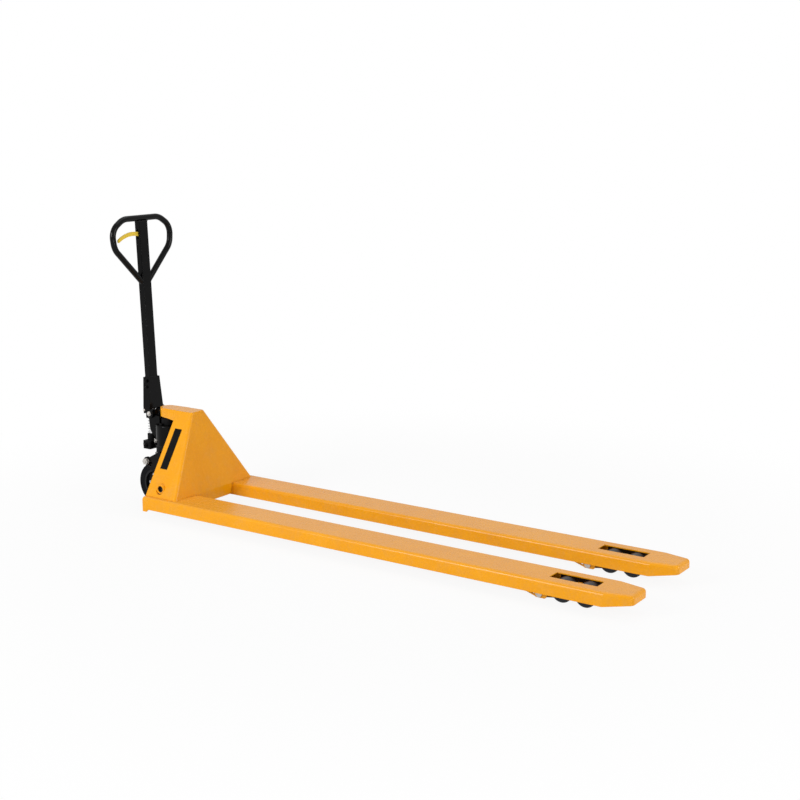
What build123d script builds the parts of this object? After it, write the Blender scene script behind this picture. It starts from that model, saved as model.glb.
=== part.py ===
from build123d import *
import os
from math import atan2, cos, degrees, hypot, radians, sin, sqrt

# Hand pallet truck with long forks.  Millimetres, +X towards the fork toes, +Y to the left, +Z up.
# While it is modelled, x = 0 is the foot of the head plate; at the end the whole is centred in X.

# ---- overall ----
FORK_LENGTH = 2000.0        # head plate to toe
OVERALL_WIDTH = 520.0
LOWERED_HEIGHT = 85.0       # fork top above the floor
LIFT = 115.0                # travel of the forks
GAP = 0.3                   # air between pieces that pass each other
FIT = 0.05                  # radial running clearance

# ---- forks ----
FORK_WIDTH = 150.0
FORK_DEPTH = 50.0
FORK_WALL = 4.0
FORK_BEND = 13.0            # rounding of the upper edges
TOE_BEND = 14.0
TOE_WIDTH = 106.0
TOE_TAPER = 100.0
TOE_DEPTH = 32.0
TOE_RISE = 105.0
WINDOW_LENGTH = 179.0
WINDOW_WIDTH = 57.0
WINDOW_LEAD = 45.0          # window edge behind the rear roller axle
FORK_Y = (OVERALL_WIDTH - FORK_WIDTH) / 2
FORK_FOOT = LOWERED_HEIGHT - FORK_DEPTH
FORK_CEILING = LOWERED_HEIGHT - FORK_WALL

# ---- load rollers ----
ROLLER_R = 40.0
ROLLER_WIDTH = 50.0
ROLLER_SPACING = 88.6
ROLLER_TOE = 187.4          # toe to the front roller axle
ROLLER_AXLE_R = 9.0
ROLLER_HUB_R = 24.0
ROLLER_ROUND = 2.5
ROLLER_RECESS = 3.0         # recess in each face of a hub
ROLLER_RIM = 3.0
ROLLER_BOSS_R = 14.0
FRONT_AXLE_X = FORK_LENGTH - ROLLER_TOE
REAR_AXLE_X = FRONT_AXLE_X - ROLLER_SPACING
BOGIE_X = (FRONT_AXLE_X + REAR_AXLE_X) / 2
BOGIE_PLATE = 5.0
BOGIE_PIVOT_R = 5.0
BOGIE_HEAD_R = 8.0
BOGIE_HEAD = 3.0
BOGIE_END_R = 13.0
BRIDGE_RISE = 16.0          # bridge above the axles
BRIDGE_HEIGHT = 9.0
BRIDGE_AIR = 5.0
SIDE_PLAY = 1.0             # air beside a roller

# ---- roller frames ----
FRAME_PIN_R = 8.0
FRAME_PIN_LEAD = 76.0       # frame pin to the rear roller axle
FRAME_PIN_X = REAR_AXLE_X - FRAME_PIN_LEAD
FRAME_PIN_Z = 22.0
FRAME_TUBE_R = 13.0
FRAME_PLATE = 5.0
FRAME_ARM = 26.0            # height of a frame arm
ROD_PIN_ARM = 46.0          # frame pin to rod pin
ROD_PIN_R = 6.0
LUG_R = 8.5
BRACKET_WALL = 5.0
BRACKET_LUG_R = 14.0         # lug below and behind the pin
BRACKET_CHAMFER = 6.0
BRACKET_REAR = 24.0         # foot of a lug, behind and ahead of the pin
BRACKET_FRONT = 42.0
PIN_END = 1.0               # how far a pin stands out of its hole
FRAME_HEAD_R = 12.0
FRAME_HEAD = 4.0
BOGIE_IN = ROLLER_WIDTH / 2 + SIDE_PLAY
FRAME_IN = BOGIE_IN + BOGIE_PLATE + GAP
FRAME_OUT = FRAME_IN + FRAME_PLATE
BRACKET_IN = FRAME_OUT + GAP
BRACKET_OUT = BRACKET_IN + BRACKET_WALL
BOGIE_ARM = BOGIE_X - FRAME_PIN_X
FRAME_REACH = hypot(BOGIE_ARM, ROLLER_R - FRAME_PIN_Z)
FRAME_REST = degrees(atan2(ROLLER_R - FRAME_PIN_Z, BOGIE_ARM))
FRAME_TURN = FRAME_REST + degrees(atan2(
    LIFT - ROLLER_R + FRAME_PIN_Z, sqrt(FRAME_REACH**2 - (LIFT - ROLLER_R + FRAME_PIN_Z)**2)))
ROD_TRAVEL = 2 * ROD_PIN_ARM * sin(radians(FRAME_TURN / 2))
FRONT_PIN_X = FRAME_PIN_X - ROD_TRAVEL / 2
FRONT_PIN_Z = FRAME_PIN_Z + ROD_PIN_ARM * cos(radians(FRAME_TURN / 2))
FRONT_RISE = ROD_PIN_ARM * (1 - cos(radians(FRAME_TURN / 2)))

# ---- head ----
HEAD_LEDGE = 19.0           # fork top outside the head
HEAD_FOOT_HALF = OVERALL_WIDTH / 2 - HEAD_LEDGE
HEAD_TOP_HALF = 38.0
HEAD_TOP = 404.0
HEAD_SETBACK = 79.0         # the head plate leans back by this much
HEAD_REAR = 161.0           # rear edge of the side plates
HEAD_WALL = 6.0
HEAD_BEND = 14.0
HEAD_EDGE = 5.0             # rounding of the top edges
SILL_DEPTH = 1.0            # how deep the head plate is let into the fork tops
CAP_THICKNESS = 38.0
HEEL_Z = 25.0
HEAD_FOOT_Z = 40.0          # lower edge of the head plate between the forks
HEAD_LEAN = (HEAD_FOOT_HALF - HEAD_TOP_HALF) / (HEAD_TOP - LOWERED_HEIGHT)
PLATE_LEAN = HEAD_SETBACK / (HEAD_TOP - LOWERED_HEIGHT)
NOSE_R = 34.0
SEAT_R = 24.0               # boss under the nose that holds the ball seat
SEAT_DEPTH = 6.0
BALL_R = 12.0
HEEL_LENGTH = 20.0
TIE_R = 15.0
TIE_WALL = 4.0
TIE_X = -26.0
TIE_Z = 62.0
STRIP_WIDTH = 37.0
STRIP_LENGTH = 178.0
STRIP_THICKNESS = 0.8
STRIP_X = -118.0
STRIP_Z = 264.0
STRIP_TILT = 0.5
LEVER_SLOT_HALF = 32.0      # slot in a fork top for the levers, open at the rear
LEVER_SLOT_FRONT = -30.0
LEVER_SLOT_AIR = 3.0        # beside the rocker arm, which dips into it
GUIDE_PLACES = (450.0, 1050.0)
GUIDE_LENGTH = 30.0
GUIDE_WALL = 5.0
BRACE_REACH = 92.0
BRACE_WALL = 3.0

# ---- rocker ----
SHAFT_X = -96.0
SHAFT_Z = 118.0
SHAFT_R = 13.0
BUSH_R = 21.0
BUSH_CHAMFER = 1.5
ROCKER_PIVOT_X = -244.0
ROCKER_PIVOT_Z = 198.0
ARM_OUT = 141.0             # outer face of a rocker arm
ARM_WALL = 10.0
ARM_END_R = 18.0
ARM_ROOT_R = 26.0
ARM_CREST_X = -170.0
ARM_CREST_Z = 248.0
ARM_SHOULDER_X = -160.0
ARM_SHOULDER_Z = 222.0
COLLAR_BOLT_R = 8.0
COLLAR_THREAD_R = 7.0
COLLAR_NUT = 24.0           # across flats
COLLAR_NUT_HEIGHT = 9.5
COLLAR_WASHER_R = 13.0
COLLAR_WASHER = 2.5
COLLAR_BOLT_END = 3.0
LEVER_WALL = 8.0
LEVER_END_R = 12.0
LEVER_ROOT_R = 20.0
ROD_END_WIDTH = 14.0
ROD_BAR_R = 11.0
ROCKER_REACH = hypot(SHAFT_X - ROCKER_PIVOT_X, ROCKER_PIVOT_Z - SHAFT_Z)
ROCKER_REST = degrees(atan2(ROCKER_PIVOT_Z - SHAFT_Z, SHAFT_X - ROCKER_PIVOT_X))
ROCKER_TURN = ROCKER_REST + degrees(atan2(LIFT - (ROCKER_PIVOT_Z - SHAFT_Z), SHAFT_X - ROCKER_PIVOT_X))
ROCKER_SHORT = SHAFT_X - ROCKER_PIVOT_X
ROCKER_LAG = 3.7            # the collar bolt rides up in its slot by this much half way
SLOT_PLAY = 0.5
LEVER_ARM = ROD_TRAVEL / 2 / sin(radians(ROCKER_TURN / 2))
REAR_PIN_X = SHAFT_X - ROD_TRAVEL / 2
REAR_PIN_Z = SHAFT_Z - LEVER_ARM * cos(radians(ROCKER_TURN / 2))
REAR_DIP = LEVER_ARM * (1 - cos(radians(ROCKER_TURN / 2)))
ROD_Z = (FRONT_PIN_Z + REAR_PIN_Z) / 2
ROD_END_R = 11.0
ROD_CHEEK = 30.0            # flat length beside each pin

# ---- pump and steering ----
RAM_X = -244.0              # steering axis
RAM_R = 17.0
RAM_FOOT_Z = 231.0
CYLINDER_BORE_R = 20.0
NECK_R = 32.0
NECK_CHAMFER = 2.0
LUG_FOOT = 70.0             # how far the pin lugs reach down the tank
LUG_REAR = 30.0
LUG_AIR = 1.5               # lugs to the gland nut and to the cap
LUG_NOSE = 17.0             # lug front behind the nose's end
LUG_WEB = 8.0               # web between the lugs
TANK_R = 57.0
TANK_WALL = 5.0
CYLINDER_R = 28.0
FLANGE_LOW = 212.3
BASE_FOOT_Z = 224.0
BASE_TOP_Z = 240.0
TANK_TOP_Z = 331.0
CYLINDER_TOP_Z = 346.0
GLAND_TOP_Z = 358.0
COLUMN_R = 40.0             # pump base where the collar sits
COLLAR_R = 62.0
COLLAR_LOW = 185.0
COLLAR_HIGH = 207.0
EAR_HALF = 13.0
BOLT_GRIP = 30.0
WHEEL_R = 90.0
WHEEL_IN = 48.0
WHEEL_OUT = 95.0
WHEEL_HUB_R = 62.0
STEER_AXLE_R = 10.0
BEARING_R = 21.0
BEARING_WIDTH = 12.0
AXLE_HOUSING_R = 26.0
AXLE_RING_WIDTH = 5.0
AXLE_RING_R = 15.0
AXLE_END = 1.0
TYRE_ROUND = 4.0
HUB_RIM = 8.0
HUB_BOSS = 7.0              # wall round a bearing
SPACER = 5.0                # between axle and hub, between the bearings
HOUSING_AIR = 2.0           # housing to wheel
WEB_INSET = 15.0
PLUG_FLATS = 17.0
PLUG_LENGTH = 7.0
PLUG_Z = 261.0
PLUG_ANGLE = 38.0           # degrees behind the side of the tank
VALVE_REAR = 12.0           # valve block beside the barrel
VALVE_FRONT = 32.0
VALVE_REACH = 44.0
VALVE_TOP_Z = 252.0
VALVE_CHAMFER = 4.0
RELEASE_Z = 250.0
RELEASE_REACH = 22.0
RELEASE_SPINDLE_R = 7.0
RELEASE_WIDTH = 12.0
RELEASE_WALL = 5.0
RELEASE_HEIGHT = 10.0

# ---- plunger ----
PLUNGER_R = 8.0
PLUNGER_CAP_R = 17.0
PLUNGER_CAP_H = 9.0
PLUNGER_STROKE = 36.5
PLUNGER_CHAMFER = 2.0
PLUNGER_GRIP = 16.0         # length in the barrel at rest
BARREL_R = 18.0
BARREL_FOOT_Z = 218.0
BARREL_TOP_Z = 276.0
SPRING_R = 13.0
SPRING_WIRE_R = 1.8
SPRING_TURNS = 7

# ---- handle ----
HANDLE_PIVOT_X = -318.0
HANDLE_PIVOT_Z = 372.0
HANDLE_PIN_R = 7.0
HANDLE_LEAN = 2.3           # degrees back from upright
HANDLE_SWING = 70.0         # degrees down from the parked place
HANDLE_FOOT_X = -331.0      # handle centre line at the pivot's height
YOKE_TOP_Z = 525.0
YOKE_WALL = 8.0
YOKE_FOOT_HALF = 40.0
YOKE_KNEE_Z = 400.0
YOKE_TOP_HALF = 29.0
SOCKET_DEPTH = 55.0
PIN_LUG_IN = 19.5
PIN_LUG_OUT = 29.5
PIN_LUG_R = 17.0
PIN_HEAD = 4.0
PIN_RIM = 3.0
YOKE_SIDE_AIR = 1.5
YOKE_LUG_AIR = 3.0          # front wall above the round of the lugs
CHEEK_WALL = 4.0
CHEEK_END_R = 9.0
CHEEK_ROOT_R = 10.0
YOKE_BRIDGE = 12.0
YOKE_DEPTH = 38.0
EAR_R = 19.0
TUBE_WIDTH = 48.0
TUBE_DEPTH = 29.0
TUBE_WALL = 2.5
LOOP_TOP_Z = 1190.0         # centre line of the grip bar
LOOP_HALF = 168.0           # centre line half width at its widest
LOOP_TUBE_R = 12.5
LOOP_TUBE_WALL = 2.5
LOOP_SHOULDER_DROP = 80.0   # grip bar to the widest place
LOOP_DROP = 265.0           # grip bar to the loop's feet
LOOP_WIDE_Z = LOOP_TOP_Z - LOOP_SHOULDER_DROP
LOOP_SHOULDER = 76.0
LOOP_FOOT_Z = LOOP_TOP_Z - LOOP_DROP
LOOP_FOOT_IN = 16.0
LOOP_LOW_IN = 6.0           # its corners, in from or out of the widest place
LOOP_HIGH_OUT = 2.0
LOOP_TOP_IN = 64.0
LOOP_KNEE_R = 70.0
LOOP_SIDE_R = 60.0
LOOP_CORNER_R = 80.0
PRESS_ROLLER_R = 12.0
PRESS_ROLLER_WIDTH = 24.0
PRESS_ARM = 30.0            # handle pivot to the roller that presses the plunger
PRESS_ANGLE = 160.0
PRESS_PIN_R = 5.0
PRESS_ROLLER_X = HANDLE_PIVOT_X + PRESS_ARM * cos(radians(PRESS_ANGLE))
PRESS_ROLLER_Z = HANDLE_PIVOT_Z + PRESS_ARM * sin(radians(PRESS_ANGLE))
PLUNGER_X = HANDLE_PIVOT_X + PRESS_ARM * cos(radians(PRESS_ANGLE + HANDLE_LEAN))
RELEASE_X = PLUNGER_X
PLUNGER_TOP_Z = HANDLE_PIVOT_Z + PRESS_ARM * sin(radians(PRESS_ANGLE + HANDLE_LEAN)) - PRESS_ROLLER_R - GAP
CONTROL_BELOW = 72.0        # grip bar to the control lever's pin
CONTROL_Z = LOOP_TOP_Z - CONTROL_BELOW
CONTROL_LENGTH = 116.0
CONTROL_SECTION = 18.0
CONTROL_THICKNESS = 6.0
CONTROL_SWING = 16.0
CONTROL_PIN_R = 4.0
CONTROL_RISE = 15.0
CONTROL_DROP = 17.0
CONTROL_TAPER = 1.5
CONTROL_WAIST = 2.0
CONTROL_SLOT_AIR = 5.0
CONTROL_SLOT_RISE = 18.0    # room above the lever where it arches and swings
RELEASE_ROD_R = 2.5
RELEASE_HEAD = 6.0

SIDES = {"left": 1, "right": -1}
nodes = {}


def bar_y(radius, x, z, y_low, y_high):
    """Round bar along Y."""
    return Pos(x, (y_low + y_high) / 2, z) * Rot(90, 0, 0) * Cylinder(radius, y_high - y_low)


def bar_z(radius, x, y, z_low, z_high):
    """Round bar along Z."""
    return Pos(x, y, (z_low + z_high) / 2) * Cylinder(radius, z_high - z_low)


def bar_x(radius, y, z, x_low, x_high):
    """Round bar along X."""
    return Pos((x_low + x_high) / 2, y, z) * Rot(0, 90, 0) * Cylinder(radius, x_high - x_low)


def block(x_low, x_high, y_low, y_high, z_low, z_high):
    """Box between its corners."""
    centre = Pos((x_low + x_high) / 2, (y_low + y_high) / 2, (z_low + z_high) / 2)
    return centre * Box(x_high - x_low, y_high - y_low, z_high - z_low)


def plate_y(points, y_low, y_high):
    """Flat plate square to Y from its outline in X and Z."""
    face = make_face(Polyline(*[(x, y_low, z) for x, z in points], close=True))
    return extrude(face, amount=y_high - y_low, dir=(0, 1, 0))


def link_y(ends, y_low, y_high):
    """Flat link square to Y with round ends: each end is (x, z, radius)."""
    (xa, za, ra), (xb, zb, rb) = ends
    reach = hypot(xb - xa, zb - za)
    along = ((xb - xa) / reach, (zb - za) / reach)
    lean = (ra - rb) / reach
    rise = sqrt(1 - lean**2)
    points = []
    for x, z, r, side in ((xa, za, ra, 1), (xb, zb, rb, 1), (xb, zb, rb, -1), (xa, za, ra, -1)):
        normal = (along[0] * lean - side * along[1] * rise, along[1] * lean + side * along[0] * rise)
        points.append((x + r * normal[0], z + r * normal[1]))
    body = plate_y(points, y_low, y_high)
    return body + bar_y(ra, xa, za, y_low, y_high) + bar_y(rb, xb, zb, y_low, y_high)


def hexagon_y(flat, x, z, y_low, y_high):
    """Hexagon nut or head along Y; flat is the size across flats."""
    shape = extrude(RegularPolygon(flat / 2, 6, major_radius=False), amount=y_high - y_low)
    return Pos(x, y_low, z) * Rot(-90, 0, 0) * shape


def ring_z(outer, inner, x, z_low, z_high):
    """Ring round the steering axis or another upright axis at y = 0."""
    return bar_z(outer, x, 0, z_low, z_high) - bar_z(inner, x, 0, z_low - 1, z_high + 1)


def mirrored(shape):
    """The shape and its mirror image on the other side of the truck."""
    return [shape, mirror(shape, about=Plane.XZ)]


def group(*shapes):
    """One node made of separate solids."""
    solids = []
    for shape in shapes:
        for piece in shape if isinstance(shape, (list, tuple)) else [shape]:
            solids += piece.solids()
    return solids[0] if len(solids) == 1 else Compound(children=solids)


def head_half(z):
    """Half width of the head, outside, at a height."""
    return HEAD_FOOT_HALF - HEAD_LEAN * (z - LOWERED_HEIGHT)


def head_front(z):
    """Front face of the head plate at a height."""
    return -PLATE_LEAN * (z - LOWERED_HEIGHT)


# ---- chassis ----
def wedge(inset_y, inset_x, z_low, z_high, rear, bend):
    """Leaning block of the head's outline, inset by a wall, with rounded front corners."""
    faces = []
    for z in (z_low, z_high):
        front = head_front(z) - inset_x
        half = head_half(z) - inset_y
        outline = Polyline((rear, -half), (front, -half), (front, half), (rear, half), close=True)
        faces.append(Pos(0, 0, z) * make_face(outline))
    solid = loft(faces, ruled=True)
    corners = [e for e in solid.edges() if abs(e.tangent_at(0.5).Z) > 0.5 and e.center().X > rear + 1]
    return fillet(corners, bend)


def sill():
    """Block across both fork tops in which the foot of the head plate stands."""
    wall_x = HEAD_WALL * hypot(1, PLATE_LEAN)
    half = OVERALL_WIDTH / 2
    return block(-wall_x, 0, -half, half, LOWERED_HEIGHT - SILL_DEPTH, LOWERED_HEIGHT)


def head_frame():
    """Folded sheet: leaning front plate and two side plates, open at the back."""
    wall_y = HEAD_WALL * hypot(1, HEAD_LEAN)
    wall_x = HEAD_WALL * hypot(1, PLATE_LEAN)
    outer = wedge(0, 0, LOWERED_HEIGHT, HEAD_TOP, -HEAD_REAR, HEAD_BEND)
    rim = [e for e in outer.faces().sort_by(Axis.Z)[-1].edges() if e.center().X > -HEAD_REAR + 1]
    outer = fillet(rim, HEAD_EDGE)
    inner = wedge(wall_y, wall_x, LOWERED_HEIGHT - 1, HEAD_TOP + 1, -HEAD_REAR - 1, HEAD_BEND - HEAD_WALL)
    inner_half = FORK_Y - FORK_WIDTH / 2
    apron = block(-wall_x, 0, -inner_half, inner_half, HEAD_FOOT_Z, LOWERED_HEIGHT)
    frame = outer - inner + apron
    for side in SIDES.values():
        frame += sill() & fork_shell(side)
    return frame - bar_y(BUSH_R, SHAFT_X, SHAFT_Z, -OVERALL_WIDTH, OVERALL_WIDTH)


def head_cap():
    """Thick cap with a round nose over the ram, and the boss of the ball seat."""
    low = HEAD_TOP - CAP_THICKNESS
    wall_y = HEAD_WALL * hypot(1, HEAD_LEAN) + FIT
    wall_x = HEAD_WALL * hypot(1, PLATE_LEAN) + FIT
    plug = wedge(wall_y, wall_x, low, HEAD_TOP, -HEAD_REAR, HEAD_BEND - HEAD_WALL)
    faces = []
    for z in (low, HEAD_TOP):
        half = max(head_half(z), NOSE_R)
        corners = [(RAM_X, -NOSE_R), (-HEAD_REAR, -half), (-HEAD_REAR, half), (RAM_X, NOSE_R)]
        outline = Polyline(*corners, close=True)
        faces.append(Pos(0, 0, z) * make_face(outline))
    neck = loft(faces, ruled=True)
    nose = bar_z(NOSE_R, RAM_X, 0, low, HEAD_TOP)
    boss = bar_z(SEAT_R, RAM_X, 0, low - SEAT_DEPTH, low)
    seat_z = HEAD_TOP - CAP_THICKNESS / 2
    ram_hole = bar_z(RAM_R + GAP, RAM_X, 0, low - SEAT_DEPTH - 1, seat_z)
    return plug + neck + nose + boss - ram_hole


def lift_ram():
    """Chromed ram, its rounded head in the seat under the nose."""
    seat_z = HEAD_TOP - CAP_THICKNESS / 2
    rod = bar_z(RAM_R, RAM_X, 0, RAM_FOOT_Z, seat_z)
    return fillet(rod.edges().sort_by(Axis.Z)[-1], RAM_R / 4)


def fork_shell(side):
    """Pressed channel, open below, with a roller window and a tapered toe."""
    rear = -HEAD_REAR
    half = FORK_WIDTH / 2
    toe_start = FORK_LENGTH - TOE_TAPER
    slope = (FORK_WIDTH - TOE_WIDTH) / 2 / TOE_TAPER

    def channel(inset, top, low, back):
        """Block of the fork's plan, inset by a wall, with rounded upper edges."""
        toe = FORK_LENGTH - inset
        knee = toe_start - inset * (hypot(1, slope) - 1)
        wide = half - inset
        tip = wide - slope * (toe - knee)
        outline = Polyline((back, -wide), (knee, -wide), (toe, -tip), (toe, tip), (knee, wide), (back, wide),
                           close=True)
        solid = Pos(0, 0, low) * extrude(make_face(outline), amount=top - low)
        corners = [e for e in solid.edges() if abs(e.tangent_at(0.5).Z) > 0.9 and e.center().X > toe - 1]
        solid = fillet(corners, TOE_BEND - inset)
        rim = [e for e in solid.faces().sort_by(Axis.Z)[-1].edges() if e.center().X > back + 1]
        return fillet(rim, FORK_BEND - inset)

    shell = channel(0, LOWERED_HEIGHT, FORK_FOOT, rear)
    shell -= channel(FORK_WALL, FORK_CEILING, FORK_FOOT - 1, rear - 1)
    toe_foot = LOWERED_HEIGHT - TOE_DEPTH
    beyond = FORK_LENGTH + 1
    rise = [(FORK_LENGTH - TOE_RISE, FORK_FOOT), (beyond, toe_foot), (beyond, FORK_FOOT - 1),
            (FORK_LENGTH - TOE_RISE, FORK_FOOT - 1)]
    shell -= plate_y(rise, -half - 1, half + 1)
    window_rear = REAR_AXLE_X - WINDOW_LEAD
    shell -= block(window_rear, window_rear + WINDOW_LENGTH, -WINDOW_WIDTH / 2, WINDOW_WIDTH / 2,
                   FORK_CEILING - 1, LOWERED_HEIGHT + 1)
    slot = block(rear - 1, LEVER_SLOT_FRONT, ARM_OUT - ARM_WALL - LEVER_SLOT_AIR - FORK_Y, LEVER_SLOT_HALF,
                 FORK_CEILING - 1, LOWERED_HEIGHT + 1)
    shell -= slot if side > 0 else mirror(slot, about=Plane.XZ)
    heel = [(rear, FORK_FOOT), (rear, HEEL_Z), (rear + HEEL_LENGTH, HEEL_Z),
            (rear + HEEL_LENGTH + FORK_FOOT - HEEL_Z, FORK_FOOT)]
    low = half - FORK_WALL if side > 0 else -half
    shell += plate_y(heel, low, low + FORK_WALL)
    return Pos(0, side * FORK_Y, 0) * shell


def fork(side):
    """Fork with the shallow groove for the foot of the head plate."""
    return fork_shell(side) - sill()


def rod_guides():
    """Straps that carry the push rods under the fork tops."""
    inner = ROD_BAR_R + GAP
    outer = inner + GUIDE_WALL
    guides = []
    for side in SIDES.values():
        for x in GUIDE_PLACES:
            y = side * FORK_Y
            x_high = x + GUIDE_LENGTH
            strap = block(x, x_high, y - outer, y + outer, ROD_Z - outer, FORK_CEILING)
            strap -= block(x - 1, x_high + 1, y - inner, y + inner, ROD_Z - inner, FORK_CEILING + 1)
            guides.append(strap)
    return group(*guides)


def roller_brackets(side):
    """Two lugs welded under the fork top that carry the roller frame's pin, with their brace strap."""
    x, z = FRAME_PIN_X, FRAME_PIN_Z
    lug_r = BRACKET_LUG_R
    cut = BRACKET_CHAMFER
    front, foot = x + 2 * lug_r, z - lug_r
    outline = [(x - BRACKET_REAR, FORK_CEILING), (x + BRACKET_FRONT, FORK_CEILING), (front, z),
               (front, foot + cut), (front - cut, foot), (x - BRACKET_REAR + 2 * cut, foot),
               (x - BRACKET_REAR + cut, foot + cut)]
    rear = x - BRACE_REACH
    brace = [(rear, FORK_CEILING), (rear, FORK_FOOT), (x - lug_r / 2, foot),
             (x - lug_r / 2, foot + 2 * BRACE_WALL),
             (rear + BRACE_WALL, FORK_FOOT + BRACE_WALL / 2), (rear + BRACE_WALL, FORK_CEILING)]
    plates = []
    for inner in (BRACKET_IN, -BRACKET_OUT):
        plate = plate_y(outline, inner, inner + BRACKET_WALL) + plate_y(brace, inner, inner + BRACKET_WALL)
        plates.append(plate - bar_y(FRAME_PIN_R + FIT, x, z, inner - 1, inner + BRACKET_WALL + 1))
    return Pos(0, side * FORK_Y, 0) * group(*plates)


def frame_pins():
    """Pins of both roller frames, with their heads."""
    pins = []
    for side in SIDES.values():
        y = side * FORK_Y
        end = BRACKET_OUT + PIN_END
        pin = bar_y(FRAME_PIN_R, FRAME_PIN_X, FRAME_PIN_Z, y - end, y + end)
        head = bar_y(FRAME_HEAD_R, FRAME_PIN_X, FRAME_PIN_Z, y - BRACKET_OUT - FRAME_HEAD, y - BRACKET_OUT)
        pins.append(pin + head)
    return group(*pins)


def shaft_bushes():
    """Bush rings of the rocker shaft, set in the side plates."""
    outer_end = head_half(SHAFT_Z) + HEAD_WALL / 2
    inner_end = FORK_Y + ROD_END_WIDTH / 2 + LEVER_WALL + 2 * GAP
    ring = bar_y(BUSH_R - FIT, SHAFT_X, SHAFT_Z, inner_end, outer_end)
    ring -= bar_y(SHAFT_R + FIT, SHAFT_X, SHAFT_Z, inner_end - 1, outer_end + 1)
    ring = chamfer(ring.edges().group_by(Axis.Y)[-1], BUSH_CHAMFER)
    return group(mirrored(ring))


def tie_tube():
    """Tube between the forks behind the head plate."""
    half = FORK_Y - FORK_WIDTH / 2
    tube = bar_y(TIE_R, TIE_X, TIE_Z, -half, half)
    return tube - bar_y(TIE_R - TIE_WALL, TIE_X, TIE_Z, -half - 1, half + 1)


def name_strips():
    """Bare strips on the side plates."""
    normal = Vector(0, 1, HEAD_LEAN).normalized()
    spot = Vector(STRIP_X, head_half(STRIP_Z), STRIP_Z) + normal * (STRIP_THICKNESS / 2)
    plane = Plane(origin=spot, x_dir=(1, 0, 0), z_dir=normal)
    strip = plane * Rot(0, 0, STRIP_TILT) * Box(STRIP_WIDTH, STRIP_LENGTH, STRIP_THICKNESS)
    return group(mirrored(strip))


# ---- rocker ----
def rocker_arms():
    """Two plate arms, each with a slot where it rides on its collar bolt."""
    px, pz = ROCKER_PIVOT_X, ROCKER_PIVOT_Z
    y_low = ARM_OUT - ARM_WALL
    along = (SHAFT_X - px) / ROCKER_REACH, (SHAFT_Z - pz) / ROCKER_REACH
    across = -along[1], along[0]
    outline = [(px + across[0] * ARM_END_R, pz + across[1] * ARM_END_R), (ARM_CREST_X, ARM_CREST_Z),
               (ARM_SHOULDER_X, ARM_SHOULDER_Z), (SHAFT_X + ARM_ROOT_R, SHAFT_Z),
               (SHAFT_X - across[0] * ARM_ROOT_R, SHAFT_Z - across[1] * ARM_ROOT_R),
               (px - across[0] * ARM_END_R, pz - across[1] * ARM_END_R)]
    arm = plate_y(outline, y_low, ARM_OUT)
    arm += bar_y(ARM_END_R, px, pz, y_low, ARM_OUT) + bar_y(ARM_ROOT_R, SHAFT_X, SHAFT_Z, y_low, ARM_OUT)
    low, high = -COLLAR_BOLT_R - GAP, COLLAR_BOLT_R + ROCKER_LAG
    reach = ROCKER_REACH - ROCKER_SHORT + COLLAR_BOLT_R + SLOT_PLAY
    back = -COLLAR_BOLT_R - SLOT_PLAY
    slot = [(back, low), (reach, low), (reach, high), (back, high)]
    turned = [(px + u * along[0] + v * across[0], pz + u * along[1] + v * across[1]) for u, v in slot]
    arm -= plate_y(turned, y_low - 1, ARM_OUT + 1)
    arm -= bar_y(SHAFT_R + FIT, SHAFT_X, SHAFT_Z, y_low - 1, ARM_OUT + 1)
    return group(mirrored(arm))


def rocker_shaft():
    """Torsion shaft across the head, its ends in the bushes."""
    end = head_half(SHAFT_Z) - 2 * HEAD_WALL
    return bar_y(SHAFT_R, SHAFT_X, SHAFT_Z, -end, end)


def rod_levers():
    """Levers that hang from the shaft and push the rods, a pair over each fork."""
    inner = ROD_END_WIDTH / 2 + GAP
    levers = []
    ends = [(SHAFT_X, SHAFT_Z, LEVER_ROOT_R), (REAR_PIN_X, REAR_PIN_Z, LEVER_END_R)]
    for y in (FORK_Y + inner, FORK_Y - inner - LEVER_WALL):
        link = link_y(ends, y, y + LEVER_WALL)
        link -= bar_y(SHAFT_R + FIT, SHAFT_X, SHAFT_Z, y - 1, y + LEVER_WALL + 1)
        levers.append(link - bar_y(ROD_PIN_R + FIT, REAR_PIN_X, REAR_PIN_Z, y - 1, y + LEVER_WALL + 1))
    return group(*[mirrored(lever) for lever in levers])


def lever_pins():
    """Pins between the levers and the push rods."""
    half = ROD_END_WIDTH / 2 + GAP + LEVER_WALL + 2 * PIN_END
    pin = bar_y(ROD_PIN_R, REAR_PIN_X, REAR_PIN_Z, FORK_Y - half, FORK_Y + half)
    return group(mirrored(pin))


# ---- push rods and roller frames ----
def push_rod(side):
    """Round bar with an upright slot in each flat end, where its pins rise and dip."""
    y = side * FORK_Y
    half = ROD_END_WIDTH / 2
    reach = ROD_PIN_R + SLOT_PLAY
    rod = bar_x(ROD_BAR_R, y, ROD_Z, REAR_PIN_X + ROD_CHEEK - half, FRONT_PIN_X - ROD_CHEEK + half)
    ends = ((REAR_PIN_X, REAR_PIN_Z, REAR_PIN_Z - REAR_DIP, 1),
            (FRONT_PIN_X, FRONT_PIN_Z, FRONT_PIN_Z + FRONT_RISE, -1))
    for x, rest, far, inward in ends:
        low, high = min(rest, far), max(rest, far)
        shank = x + inward * ROD_CHEEK
        tip = x - inward * ROD_END_R
        cheek = block(min(x, shank), max(x, shank), y - half, y + half, low - ROD_END_R, high + ROD_END_R)
        cheek += block(min(x, tip), max(x, tip), y - half, y + half, low, high)
        slot = block(x - reach, x + reach, y - half - 1, y + half + 1, low, high)
        for z in (low, high):
            cheek += bar_y(ROD_END_R, x, z, y - half, y + half)
            slot += bar_y(reach, x, z, y - half - 1, y + half + 1)
        rod = rod + cheek - slot
    return rod


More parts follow.
